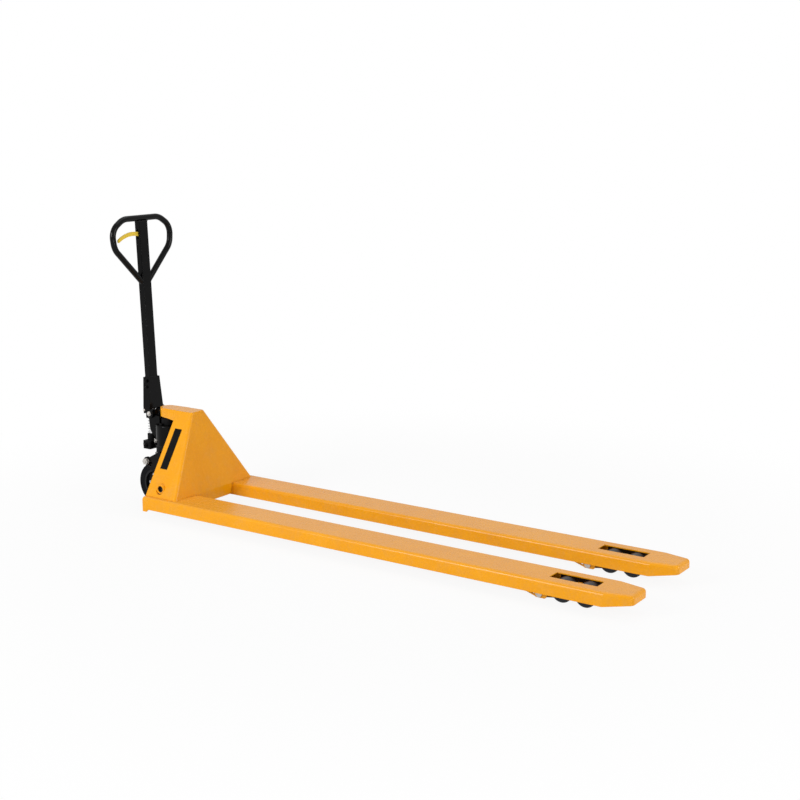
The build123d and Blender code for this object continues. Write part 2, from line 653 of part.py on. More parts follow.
def roller_frame(side):
    """Welded frame: tube on the pin, two arms to the bogie and two lugs up to the push rod."""
    x, z = FRAME_PIN_X, FRAME_PIN_Z
    lug_in = ROD_END_WIDTH / 2 + GAP
    frame = bar_y(FRAME_TUBE_R, x, z, -FRAME_OUT, FRAME_OUT)
    for y in (FRAME_IN, -FRAME_OUT):
        ends = [(x, z, FRAME_TUBE_R), (BOGIE_X, ROLLER_R, FRAME_ARM / 2)]
        frame += link_y(ends, y, y + FRAME_PLATE)
        frame -= bar_y(BOGIE_PIVOT_R + FIT, BOGIE_X, ROLLER_R, y - 1, y + FRAME_PLATE + 1)
    for y in (lug_in, -lug_in - FRAME_PLATE):
        frame += link_y([(x, z, FRAME_TUBE_R), (FRONT_PIN_X, FRONT_PIN_Z, LUG_R)], y, y + FRAME_PLATE)
    frame -= bar_y(ROD_PIN_R + FIT, FRONT_PIN_X, FRONT_PIN_Z, -FRAME_OUT, FRAME_OUT)
    frame -= bar_y(FRAME_PIN_R + FIT, x, z, -FRAME_OUT - 1, FRAME_OUT + 1)
    return Pos(0, side * FORK_Y, 0) * frame


def rod_front_pin(side):
    """Pin between a roller frame's lugs and its push rod."""
    half = ROD_END_WIDTH / 2 + GAP + FRAME_PLATE + 2 * PIN_END
    return bar_y(ROD_PIN_R, FRONT_PIN_X, FRONT_PIN_Z, side * FORK_Y - half, side * FORK_Y + half)


def bogie_pivots(side):
    """Short bolts on which a bogie tips, one in each frame arm."""
    bolts = []
    for inner, outer in ((BOGIE_IN, FRAME_OUT), (-FRAME_OUT, -BOGIE_IN)):
        bolt = bar_y(BOGIE_PIVOT_R, BOGIE_X, ROLLER_R, inner, outer)
        out = (FRAME_OUT, FRAME_OUT + BOGIE_HEAD) if inner > 0 else (-FRAME_OUT - BOGIE_HEAD, -FRAME_OUT)
        bolts.append(bolt + bar_y(BOGIE_HEAD_R, BOGIE_X, ROLLER_R, *out))
    return Pos(0, side * FORK_Y, 0) * group(*bolts)


def bogie(side):
    """Two side plates joined by a bridge that stands between the rollers."""
    ends = [(REAR_AXLE_X, ROLLER_R, BOGIE_END_R), (FRONT_AXLE_X, ROLLER_R, BOGIE_END_R)]
    low = ROLLER_R + BRIDGE_RISE
    high = low + BRIDGE_HEIGHT
    foot = ROLLER_SPACING / 2 - sqrt(ROLLER_R**2 - BRIDGE_RISE**2) - BRIDGE_AIR
    crown = ROLLER_SPACING / 2 - sqrt(ROLLER_R**2 - (BRIDGE_RISE + BRIDGE_HEIGHT)**2) - BRIDGE_AIR
    bridge = [(BOGIE_X - foot, low), (BOGIE_X + foot, low), (BOGIE_X + crown, high), (BOGIE_X - crown, high)]
    whole = BOGIE_IN + BOGIE_PLATE
    body = plate_y(bridge, -whole, whole)
    web = [(BOGIE_X - foot, ROLLER_R), (BOGIE_X + foot, ROLLER_R), *bridge[2:]]
    for y in (BOGIE_IN, -whole):
        body += link_y(ends, y, y + BOGIE_PLATE) + plate_y(web, y, y + BOGIE_PLATE)
    for x in (REAR_AXLE_X, FRONT_AXLE_X):
        body -= bar_y(ROLLER_AXLE_R + FIT, x, ROLLER_R, -whole - 1, whole + 1)
    body -= bar_y(BOGIE_PIVOT_R + FIT, BOGIE_X, ROLLER_R, -whole - 1, whole + 1)
    return Pos(0, side * FORK_Y, 0) * body


def roller_axles(side):
    """Axles of one bogie's two rollers."""
    half = BOGIE_IN + BOGIE_PLATE
    y = side * FORK_Y
    places = (REAR_AXLE_X, FRONT_AXLE_X)
    return group(*[bar_y(ROLLER_AXLE_R, x, ROLLER_R, y - half, y + half) for x in places])


def roller_tyre(x, side):
    """Tread of a load roller, its edges rounded."""
    half = ROLLER_WIDTH / 2
    y = side * FORK_Y
    tread = fillet(bar_y(ROLLER_R, x, ROLLER_R, y - half, y + half).edges(), ROLLER_ROUND)
    return tread - bar_y(ROLLER_HUB_R, x, ROLLER_R, y - half - 1, y + half + 1)


def roller_hub(x, side):
    """Hub of a load roller with its bearings, running on the axle."""
    half = ROLLER_WIDTH / 2
    y = side * FORK_Y
    hub = bar_y(ROLLER_HUB_R - FIT, x, ROLLER_R, y - half, y + half)
    for low, high in ((y - half, y - half + ROLLER_RECESS), (y + half - ROLLER_RECESS, y + half)):
        recess = bar_y(ROLLER_HUB_R - ROLLER_RIM, x, ROLLER_R, low, high)
        hub -= recess - bar_y(ROLLER_BOSS_R, x, ROLLER_R, low, high)
    return hub - bar_y(ROLLER_AXLE_R + FIT, x, ROLLER_R, y - half - 1, y + half + 1)


# ---- thrust collar ----
def thrust_collar():
    """Collar round the pump base, with an ear out to each rocker arm."""
    reach = ARM_OUT - ARM_WALL - GAP
    collar = bar_z(COLLAR_R, RAM_X, 0, COLLAR_LOW, COLLAR_HIGH)
    collar += block(RAM_X - EAR_HALF, RAM_X + EAR_HALF, -reach, reach, COLLAR_LOW, COLLAR_HIGH)
    ear = bar_y(EAR_HALF, ROCKER_PIVOT_X, ROCKER_PIVOT_Z, COLLAR_R, reach)
    collar += ear + mirror(ear, about=Plane.XZ)
    collar -= bar_z(COLUMN_R + FIT, RAM_X, 0, 0, 2 * COLLAR_HIGH)
    hole = bar_y(COLLAR_BOLT_R + FIT, ROCKER_PIVOT_X, ROCKER_PIVOT_Z, reach - BOLT_GRIP, reach + 1)
    return collar - hole - mirror(hole, about=Plane.XZ)


def collar_bolts():
    """Shouldered bolts through the rocker arms, with washers and nuts."""
    x, z = ROCKER_PIVOT_X, ROCKER_PIVOT_Z
    inner = ARM_OUT - ARM_WALL - GAP - BOLT_GRIP
    washer = ARM_OUT + GAP
    seat = washer + COLLAR_WASHER
    end = seat + COLLAR_NUT_HEIGHT
    bolt = bar_y(COLLAR_BOLT_R, x, z, inner, seat)
    bolt += bar_y(COLLAR_WASHER_R, x, z, washer, seat)
    bolt += hexagon_y(COLLAR_NUT, x, z, seat, end)
    bolt += bar_y(COLLAR_THREAD_R, x, z, washer, end + COLLAR_BOLT_END)
    return group(mirrored(bolt))


def thrust_ring():
    """Ring on which the pump base turns, lying on the collar."""
    return ring_z(COLLAR_R - 4, COLUMN_R + FIT, RAM_X, COLLAR_HIGH, FLANGE_LOW - GAP)


# ---- pump and steering ----
def pump_base():
    """Column with the axle housing below and the flange that bears on the thrust ring."""
    half = WHEEL_IN - HOUSING_AIR
    base = bar_z(COLUMN_R, RAM_X, 0, WHEEL_R, FLANGE_LOW)
    base += bar_y(AXLE_HOUSING_R, RAM_X, WHEEL_R, -half, half)
    base += bar_z(TANK_R, RAM_X, 0, FLANGE_LOW, BASE_FOOT_Z)
    return base - bar_y(STEER_AXLE_R + FIT, RAM_X, WHEEL_R, -half - 1, half + 1)


def pump_cylinder():
    """Foot plate, lift cylinder and plunger barrel in one casting."""
    body = bar_z(TANK_R, RAM_X, 0, BASE_FOOT_Z, BASE_TOP_Z)
    body += bar_z(CYLINDER_R, RAM_X, 0, BASE_FOOT_Z, CYLINDER_TOP_Z)
    body += block(PLUNGER_X, RAM_X, -BARREL_R, BARREL_R, BASE_FOOT_Z, BASE_TOP_Z)
    valve = block(PLUNGER_X - VALVE_REAR, PLUNGER_X + VALVE_FRONT, -VALVE_REACH, 0,
                  BARREL_FOOT_Z, VALVE_TOP_Z)
    body += chamfer(valve.edges().filter_by(Axis.Z).group_by(Axis.Y)[0], VALVE_CHAMFER)
    body += bar_z(BARREL_R, PLUNGER_X, 0, BARREL_FOOT_Z, BARREL_TOP_Z)
    body -= bar_z(CYLINDER_BORE_R, RAM_X, 0, BASE_FOOT_Z + TANK_WALL, CYLINDER_TOP_Z + 1)
    plunger_foot = BARREL_TOP_Z - PLUNGER_GRIP
    return body - bar_z(PLUNGER_R + FIT, PLUNGER_X, 0, plunger_foot - PLUNGER_STROKE - 1, BARREL_TOP_Z + 1)


def oil_tank():
    """Tank round the lift cylinder, with the two lugs of the handle pin."""
    root = RAM_X - TANK_R + 2 * TANK_WALL
    toe = RAM_X - sqrt((NECK_R + LUG_AIR)**2 - PIN_LUG_IN**2)
    front = RAM_X - NOSE_R - LUG_NOSE
    under_cap = HEAD_TOP - CAP_THICKNESS - LUG_AIR
    brow = HANDLE_PIVOT_Z + PIN_LUG_R + 1
    outline = [(toe, TANK_TOP_Z), (root, TANK_TOP_Z), (root, TANK_TOP_Z - LUG_FOOT),
               (PLUNGER_X + PLUNGER_CAP_R + PIN_HEAD, TANK_TOP_Z - LUG_REAR),
               (HANDLE_PIVOT_X - PIN_LUG_R, HANDLE_PIVOT_Z), (HANDLE_PIVOT_X, HANDLE_PIVOT_Z + PIN_LUG_R - 1),
               (front, brow), (front, under_cap), (toe, under_cap)]
    lug = plate_y(outline, PIN_LUG_IN, PIN_LUG_OUT)
    lug += bar_y(PIN_LUG_R, HANDLE_PIVOT_X, HANDLE_PIVOT_Z, PIN_LUG_IN, PIN_LUG_OUT)
    lug -= bar_y(HANDLE_PIN_R + FIT, HANDLE_PIVOT_X, HANDLE_PIVOT_Z, PIN_LUG_IN - 1, PIN_LUG_OUT + 1)
    tank = bar_z(TANK_R, RAM_X, 0, BASE_TOP_Z, TANK_TOP_Z)
    tank = fillet(tank.edges().sort_by(Axis.Z)[-1], TANK_WALL)
    web = block(front - LUG_WEB, front, -PIN_LUG_IN, PIN_LUG_IN, TANK_TOP_Z - TANK_WALL, brow)
    tank = tank + lug + mirror(lug, about=Plane.XZ) + web
    tank -= bar_z(TANK_R - TANK_WALL, RAM_X, 0, BASE_TOP_Z - 1, TANK_TOP_Z - TANK_WALL)
    return tank - bar_z(CYLINDER_R + FIT, RAM_X, 0, BASE_TOP_Z - 1, TANK_TOP_Z + 1)


def gland_nut():
    """Nut over the top of the lift cylinder that guides the ram."""
    nut = bar_z(NECK_R, RAM_X, 0, TANK_TOP_Z, GLAND_TOP_Z)
    nut = chamfer(nut.edges().sort_by(Axis.Z)[-1], NECK_CHAMFER)
    nut -= bar_z(CYLINDER_R + FIT, RAM_X, 0, TANK_TOP_Z - 1, CYLINDER_TOP_Z)
    return nut - bar_z(RAM_R + FIT, RAM_X, 0, CYLINDER_TOP_Z - 1, GLAND_TOP_Z + 1)


def tank_plugs():
    """Hexagon plugs low in the rear of the tank, one on each side."""
    seat = sqrt(TANK_R**2 - PLUG_FLATS**2 / 3)
    plug = hexagon_y(PLUG_FLATS, 0, PLUG_Z, seat, TANK_R + PLUG_LENGTH)
    tank = bar_z(TANK_R, 0, 0, PLUG_Z - PLUG_FLATS, PLUG_Z + PLUG_FLATS)
    return group(mirrored(Pos(RAM_X, 0, 0) * Rot(0, 0, PLUG_ANGLE) * (plug - tank)))


def steer_axle():
    """Axle of both steering wheels."""
    end = WHEEL_OUT + AXLE_RING_WIDTH + AXLE_END
    return bar_y(STEER_AXLE_R, RAM_X, WHEEL_R, -end, end)


def axle_rings():
    """End rings that keep the wheels on their axle."""
    ring = bar_y(AXLE_RING_R, RAM_X, WHEEL_R, WHEEL_OUT + GAP, WHEEL_OUT + AXLE_RING_WIDTH)
    ring -= bar_y(STEER_AXLE_R + FIT, RAM_X, WHEEL_R, WHEEL_OUT, WHEEL_OUT + AXLE_RING_WIDTH + 1)
    return group(mirrored(ring))


def handle_pin():
    """Pin on which the handle swings, its heads outside the yoke."""
    x, z = HANDLE_PIVOT_X, HANDLE_PIVOT_Z
    end = YOKE_FOOT_HALF + GAP
    pin = bar_y(HANDLE_PIN_R, x, z, -end - PIN_HEAD, end + PIN_HEAD)
    head = bar_y(HANDLE_PIN_R + PIN_RIM, x, z, end, end + PIN_HEAD)
    return pin + head + mirror(head, about=Plane.XZ)


def release_lever():
    """Lever of the lowering valve, on its spindle beside the plunger barrel."""
    x = RELEASE_X
    y = BARREL_R + GAP
    spindle = bar_y(RELEASE_SPINDLE_R, x, RELEASE_Z, y, y + RELEASE_WIDTH)
    half = RELEASE_HEIGHT / 2
    side = (RELEASE_WIDTH - RELEASE_WALL) / 2
    blade = block(x - RELEASE_REACH, x, y + side, y + side + RELEASE_WALL, RELEASE_Z - half, RELEASE_Z + half)
    tip = bar_y(RELEASE_SPINDLE_R, x - RELEASE_REACH, RELEASE_Z, y + side / 2, y + RELEASE_WIDTH - side / 2)
    return spindle + blade + tip


# ---- plunger ----
def pump_plunger():
    """Plunger with the cap that the handle's roller presses."""
    cap_low = PLUNGER_TOP_Z - PLUNGER_CAP_H
    rod = bar_z(PLUNGER_R, PLUNGER_X, 0, BARREL_TOP_Z - PLUNGER_GRIP, cap_low)
    cap = bar_z(PLUNGER_CAP_R, PLUNGER_X, 0, cap_low, PLUNGER_TOP_Z)
    return rod + chamfer(cap.edges().sort_by(Axis.Z)[-1], PLUNGER_CHAMFER)


def plunger_spring():
    """Return spring between the barrel and the cap."""
    low = BARREL_TOP_Z + SPRING_WIRE_R + FIT
    height = PLUNGER_TOP_Z - PLUNGER_CAP_H - SPRING_WIRE_R - FIT - low
    path = Helix(height / SPRING_TURNS, height, SPRING_R)
    section = Plane(origin=path @ 0, z_dir=path % 0) * Circle(SPRING_WIRE_R)
    return Pos(PLUNGER_X, 0, low) * sweep(section, path=path, is_frenet=True)


# ---- steering wheels ----
def wheel_tyre(side):
    """Tyre of a steering wheel, its edges rounded."""
    low, high = (WHEEL_IN, WHEEL_OUT) if side > 0 else (-WHEEL_OUT, -WHEEL_IN)
    tread = fillet(bar_y(WHEEL_R, RAM_X, WHEEL_R, low, high).edges(), TYRE_ROUND)
    return tread - bar_y(WHEEL_HUB_R, RAM_X, WHEEL_R, low - 1, high + 1)


def wheel_hub(side):
    """Cast hub of a steering wheel: rim, web and boss."""
    low, high = (WHEEL_IN, WHEEL_OUT) if side > 0 else (-WHEEL_OUT, -WHEEL_IN)
    hub = bar_y(WHEEL_HUB_R - FIT, RAM_X, WHEEL_R, low, high)
    for a, b in ((low, low + WEB_INSET), (high - WEB_INSET, high)):
        recess = bar_y(WHEEL_HUB_R - HUB_RIM, RAM_X, WHEEL_R, a, b)
        hub -= recess - bar_y(BEARING_R + HUB_BOSS, RAM_X, WHEEL_R, a, b)
    hub -= bar_y(STEER_AXLE_R + SPACER, RAM_X, WHEEL_R, low - 1, high + 1)
    for a, b in ((low, low + BEARING_WIDTH), (high - BEARING_WIDTH, high)):
        hub -= bar_y(BEARING_R, RAM_X, WHEEL_R, a, b)
    return hub


def wheel_bearings(side):
    """Two ball bearings of a steering wheel, as closed rings."""
    low, high = (WHEEL_IN, WHEEL_OUT) if side > 0 else (-WHEEL_OUT, -WHEEL_IN)
    rings = []
    for a, b in ((low, low + BEARING_WIDTH), (high - BEARING_WIDTH, high)):
        ring = bar_y(BEARING_R - FIT, RAM_X, WHEEL_R, a, b)
        rings.append(ring - bar_y(STEER_AXLE_R + FIT, RAM_X, WHEEL_R, a - 1, b + 1))
    return group(*rings)


# ---- handle ----
def lean(shape):
    """Turn a piece of the handle back from upright about its pivot."""
    pivot = Pos(HANDLE_PIVOT_X, 0, HANDLE_PIVOT_Z)
    return pivot * Rot(0, -HANDLE_LEAN, 0) * pivot.inverse() * shape


def handle_yoke():
    """Cast fork: two ears on the pin, a web between them and the tube's socket on top."""
    x = HANDLE_FOOT_X
    front, rear = x + YOKE_DEPTH / 2, x - YOKE_DEPTH / 2

    def shield(inset, low, x_low, x_high, top):
        """Front view of the yoke, inset by a wall, as a block."""
        foot, head = YOKE_FOOT_HALF - inset, YOKE_TOP_HALF - inset
        outline = Polyline((x_low, -foot, low), (x_low, -foot, YOKE_KNEE_Z), (x_low, -head, top),
                           (x_low, head, top), (x_low, foot, YOKE_KNEE_Z), (x_low, foot, low), close=True)
        return extrude(make_face(outline), amount=x_high - x_low, dir=(1, 0, 0))

    low = HANDLE_PIVOT_Z - EAR_R
    yoke = shield(0, low, rear, front, YOKE_TOP_Z)
    yoke += bar_y(EAR_R, HANDLE_PIVOT_X, HANDLE_PIVOT_Z, -YOKE_FOOT_HALF, YOKE_FOOT_HALF)
    beyond = YOKE_FOOT_HALF + 1
    yoke -= block(rear - 1, HANDLE_PIVOT_X - EAR_R, -beyond, beyond, low - 1, HANDLE_PIVOT_Z)
    hollow = shield(YOKE_WALL, low - 1, rear - 1, front - YOKE_WALL, YOKE_TOP_Z - SOCKET_DEPTH - YOKE_WALL)
    yoke -= hollow
    inside = YOKE_FOOT_HALF - YOKE_WALL - YOKE_SIDE_AIR
    yoke -= block(rear - 1, HANDLE_PIVOT_X + 2 * EAR_R, -inside, inside,
                  low - 1, HANDLE_PIVOT_Z + PIN_LUG_R + YOKE_LUG_AIR)
    socket_foot = YOKE_TOP_Z - SOCKET_DEPTH
    yoke -= tube_block(-FIT, socket_foot, YOKE_TOP_Z + 1)
    yoke -= bar_z(RELEASE_ROD_R + GAP, x, 0, socket_foot - YOKE_WALL - 1, socket_foot + 1)
    cheek = PRESS_ROLLER_WIDTH / 2 + SIDE_PLAY
    for y in (cheek, -cheek - CHEEK_WALL):
        ends = [(PRESS_ROLLER_X, PRESS_ROLLER_Z, CHEEK_END_R), (x, YOKE_KNEE_Z + YOKE_DEPTH, CHEEK_ROOT_R)]
        yoke += link_y(ends, y, y + CHEEK_WALL)
    bridge_z = YOKE_KNEE_Z + YOKE_DEPTH / 2
    yoke += block(x - YOKE_BRIDGE / 2, front - YOKE_WALL, -cheek - CHEEK_WALL, cheek + CHEEK_WALL,
                  bridge_z, bridge_z + YOKE_BRIDGE)
    yoke -= bar_y(PRESS_PIN_R + FIT, PRESS_ROLLER_X, PRESS_ROLLER_Z, -2 * cheek, 2 * cheek)
    yoke -= bar_y(HANDLE_PIN_R + FIT, HANDLE_PIVOT_X, HANDLE_PIVOT_Z, -beyond, beyond)
    return lean(yoke)


def press_pin():
    """Pin of the roller that presses the plunger."""
    half = PRESS_ROLLER_WIDTH / 2 + SIDE_PLAY + CHEEK_WALL + PIN_END
    return lean(bar_y(PRESS_PIN_R, PRESS_ROLLER_X, PRESS_ROLLER_Z, -half, half))


def press_roller():
    """Roller that presses the plunger."""
    half = PRESS_ROLLER_WIDTH / 2
    roller = chamfer(bar_y(PRESS_ROLLER_R, PRESS_ROLLER_X, PRESS_ROLLER_Z, -half, half).edges(), 1)
    return lean(roller - bar_y(PRESS_PIN_R + FIT, PRESS_ROLLER_X, PRESS_ROLLER_Z, -half - 1, half + 1))


def loop_path():
    """Centre line of the grip loop, from foot to foot."""
    x = HANDLE_FOOT_X
    knee_z = LOOP_WIDE_Z - LOOP_SHOULDER / 2
    shoulder_z = LOOP_WIDE_Z + LOOP_SHOULDER / 2
    half = [(LOOP_FOOT_IN, LOOP_FOOT_Z), (LOOP_HALF - LOOP_LOW_IN, knee_z),
            (LOOP_HALF + LOOP_HIGH_OUT, shoulder_z), (LOOP_HALF - LOOP_TOP_IN, LOOP_TOP_Z)]
    points = [(x, -y, z) for y, z in half] + [(x, y, z) for y, z in reversed(half)]
    rising = [LOOP_KNEE_R, LOOP_SIDE_R, LOOP_CORNER_R]
    return FilletPolyline(*points, radius=rising + rising[::-1])


def loop_bar(radius):
    """Round bar along the grip loop's centre line."""
    path = loop_path()
    return sweep(Plane(origin=path @ 0, z_dir=path % 0) * Circle(radius), path=path)


def tube_block(inset, z_low, z_high):
    """Block of the handle tube's section."""
    x = HANDLE_FOOT_X
    deep, wide = TUBE_DEPTH / 2 - inset, TUBE_WIDTH / 2 - inset
    return block(x - deep, x + deep, -wide, wide, z_low, z_high)


def handle_loop():
    """Bent tube with the grip bar, welded to the handle tube."""
    foot = YOKE_TOP_Z - SOCKET_DEPTH
    hollow = loop_bar(LOOP_TUBE_R) - loop_bar(LOOP_TUBE_R - LOOP_TUBE_WALL)
    return lean(hollow - tube_block(0, foot, LOOP_TOP_Z - LOOP_TUBE_R))


def handle_tube():
    """Rectangular tube from the yoke to the grip bar, with the control lever's slot."""
    foot = YOKE_TOP_Z - SOCKET_DEPTH
    top = LOOP_TOP_Z - LOOP_TUBE_R
    tube = tube_block(0, foot, top)
    rim = [e for e in tube.edges() if abs(e.tangent_at(0.5).Z) > 0.9]
    tube = fillet(rim, TUBE_WALL + 1) - tube_block(TUBE_WALL, foot - 1, top + 1)
    slot_low = CONTROL_Z - CONTROL_SECTION / 2 - CONTROL_SLOT_AIR
    slot_high = CONTROL_Z + CONTROL_SECTION / 2 + CONTROL_SLOT_RISE
    x = HANDLE_FOOT_X
    deep = CONTROL_THICKNESS / 2 + 1
    tube -= block(x - deep, x + deep, -TUBE_WIDTH, 0, slot_low, slot_high)
    return lean(tube)


def control_lever():
    """Curved finger lever that sticks out of the handle tube on the right."""
    z = CONTROL_Z
    half = CONTROL_SECTION / 2
    tip_y = -TUBE_WIDTH / 2 - CONTROL_LENGTH
    mid_y = (tip_y - TUBE_WIDTH / 2) / 2
    x = HANDLE_FOOT_X - CONTROL_THICKNESS / 2
    tip_half = half - CONTROL_TAPER
    tip_z = z - CONTROL_DROP
    crest = z + CONTROL_RISE
    upper = ThreePointArc((x, 0, z + half), (x, mid_y, crest), (x, tip_y, tip_z + tip_half))
    lower = ThreePointArc((x, tip_y, tip_z - tip_half), (x, mid_y, crest - 2 * half + CONTROL_WAIST),
                          (x, 0, z - half))
    outline = [upper, Line(upper @ 1, lower @ 0), lower, Line(lower @ 1, upper @ 0)]
    blade = extrude(make_face(Wire(outline)), amount=CONTROL_THICKNESS, dir=(1, 0, 0))
    blade = fillet(blade.edges().group_by(Axis.Y)[0].filter_by(Axis.X), tip_half / 2)
    boss = bar_x(half, 0, z, x, x + CONTROL_THICKNESS)
    return lean(blade + boss - bar_x(CONTROL_PIN_R + FIT, 0, z, x - 1, x + CONTROL_THICKNESS + 1))


def control_pin():
    """Pin of the control lever, through the handle tube."""
    half = TUBE_DEPTH / 2 - TUBE_WALL
    return lean(bar_x(CONTROL_PIN_R, 0, CONTROL_Z, HANDLE_FOOT_X - half, HANDLE_FOOT_X + half))


def release_rod():
    """Rod inside the handle tube that carries the control lever's pull down to the yoke."""
    top = CONTROL_Z - CONTROL_SECTION / 2 - CONTROL_SLOT_AIR
    rod = bar_z(RELEASE_ROD_R, HANDLE_FOOT_X, 0, YOKE_KNEE_Z + YOKE_DEPTH, top)
    return lean(rod + bar_z(2 * RELEASE_ROD_R, HANDLE_FOOT_X, 0, top - RELEASE_HEAD, top))


# ---- nodes ----
nodes["head_frame"] = head_frame()
nodes["head_cap"] = head_cap()
nodes["lift_ram"] = lift_ram()
nodes["tie_tube"] = tie_tube()
nodes["shaft_bushes"] = shaft_bushes()
nodes["name_strips"] = name_strips()
nodes["rod_guides"] = rod_guides()
nodes["frame_pins"] = frame_pins()
nodes["rocker_shaft"] = rocker_shaft()
nodes["rocker_arms"] = rocker_arms()
nodes["rod_levers"] = rod_levers()
nodes["lever_pins"] = lever_pins()
nodes["thrust_collar"] = thrust_collar()
nodes["thrust_ring"] = thrust_ring()
nodes["collar_bolts"] = collar_bolts()
nodes["pump_base"] = pump_base()
nodes["pump_cylinder"] = pump_cylinder()
nodes["oil_tank"] = oil_tank()
nodes["gland_nut"] = gland_nut()
nodes["tank_plugs"] = tank_plugs()
nodes["steer_axle"] = group(steer_axle(), axle_rings())
nodes["handle_pin"] = handle_pin()
nodes["release_lever"] = release_lever()
nodes["pump_plunger"] = pump_plunger()
nodes["plunger_spring"] = plunger_spring()
nodes["handle_yoke"] = handle_yoke()
nodes["handle_pins"] = group(press_pin(), control_pin())
nodes["press_roller"] = press_roller()
nodes["handle_tube"] = handle_tube()
nodes["handle_loop"] = handle_loop()
nodes["control_lever"] = control_lever()
nodes["release_rod"] = release_rod()
for name, side in SIDES.items():
    nodes[f"fork_{name}"] = fork(side)
    nodes[f"roller_bracket_{name}"] = roller_brackets(side)
    nodes[f"push_rod_{name}"] = push_rod(side)
    nodes[f"roller_frame_{name}"] = roller_frame(side)
    nodes[f"frame_fittings_{name}"] = group(rod_front_pin(side), bogie_pivots(side))
    nodes[f"bogie_{name}"] = bogie(side)
    nodes[f"roller_axles_{name}"] = roller_axles(side)
    nodes[f"roller_tyre_rear_{name}"] = roller_tyre(REAR_AXLE_X, side)
    nodes[f"roller_hub_rear_{name}"] = roller_hub(REAR_AXLE_X, side)
    nodes[f"roller_tyre_front_{name}"] = roller_tyre(FRONT_AXLE_X, side)
    nodes[f"roller_hub_front_{name}"] = roller_hub(FRONT_AXLE_X, side)
    nodes[f"wheel_tyre_{name}"] = wheel_tyre(side)
    nodes[f"wheel_hub_{name}"] = wheel_hub(side)
    nodes[f"wheel_bearings_{name}"] = wheel_bearings(side)

# The origin is under the middle of the whole truck's box.
low_x = min(node.bounding_box().min.X for node in nodes.values())
high_x = max(node.bounding_box().max.X for node in nodes.values())
ORIGIN_X = -(low_x + high_x) / 2

os.makedirs("parts", exist_ok=True)
for name, node in nodes.items():
    solids = [Pos(ORIGIN_X, 0, 0) * solid for solid in node.solids()]
    placed = solids[0] if len(solids) == 1 else Compound(children=solids)
    placed.label = name
    export_step(placed, f"parts/{name}.step")
print(len(nodes), "nodes, origin shift", round(ORIGIN_X, 3))
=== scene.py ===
"""Looks of a hand pallet truck with long forks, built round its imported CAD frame."""

import logging
import math
from dataclasses import dataclass, field
from enum import Enum
from typing import Optional, Sequence

import bmesh
import bpy
from mathutils import Matrix, Vector

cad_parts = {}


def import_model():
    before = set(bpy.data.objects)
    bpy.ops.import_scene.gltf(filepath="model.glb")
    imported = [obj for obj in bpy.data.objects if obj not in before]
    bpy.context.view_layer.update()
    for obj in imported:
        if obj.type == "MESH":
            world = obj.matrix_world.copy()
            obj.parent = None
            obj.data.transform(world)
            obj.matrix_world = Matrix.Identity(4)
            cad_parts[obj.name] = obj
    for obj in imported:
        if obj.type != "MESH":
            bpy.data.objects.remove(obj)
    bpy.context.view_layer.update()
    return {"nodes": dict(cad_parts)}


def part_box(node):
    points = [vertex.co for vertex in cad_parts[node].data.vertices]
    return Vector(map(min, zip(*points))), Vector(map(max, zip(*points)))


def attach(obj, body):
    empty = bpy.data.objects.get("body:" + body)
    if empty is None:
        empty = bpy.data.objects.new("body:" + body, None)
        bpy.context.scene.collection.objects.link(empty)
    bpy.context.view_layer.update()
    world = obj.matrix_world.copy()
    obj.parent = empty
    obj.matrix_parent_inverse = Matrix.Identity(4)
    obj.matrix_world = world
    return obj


LOG = logging.getLogger("truck")
MIX_FIRST, MIX_SECOND, MIX_RESULT = 6, 7, 2  # colour sockets of a Mix node
BEVEL_SAMPLES = 4
Point = tuple[float, float, float]
Colour = tuple[float, float, float]


class Side(Enum):
    """Side of the truck, looking towards the fork toes, with its sign in Y."""

    LEFT = 1
    RIGHT = -1

    @property
    def word(self) -> str:
        """Lower-case name, as CAD nodes and bodies use it."""
        return self.name.lower()


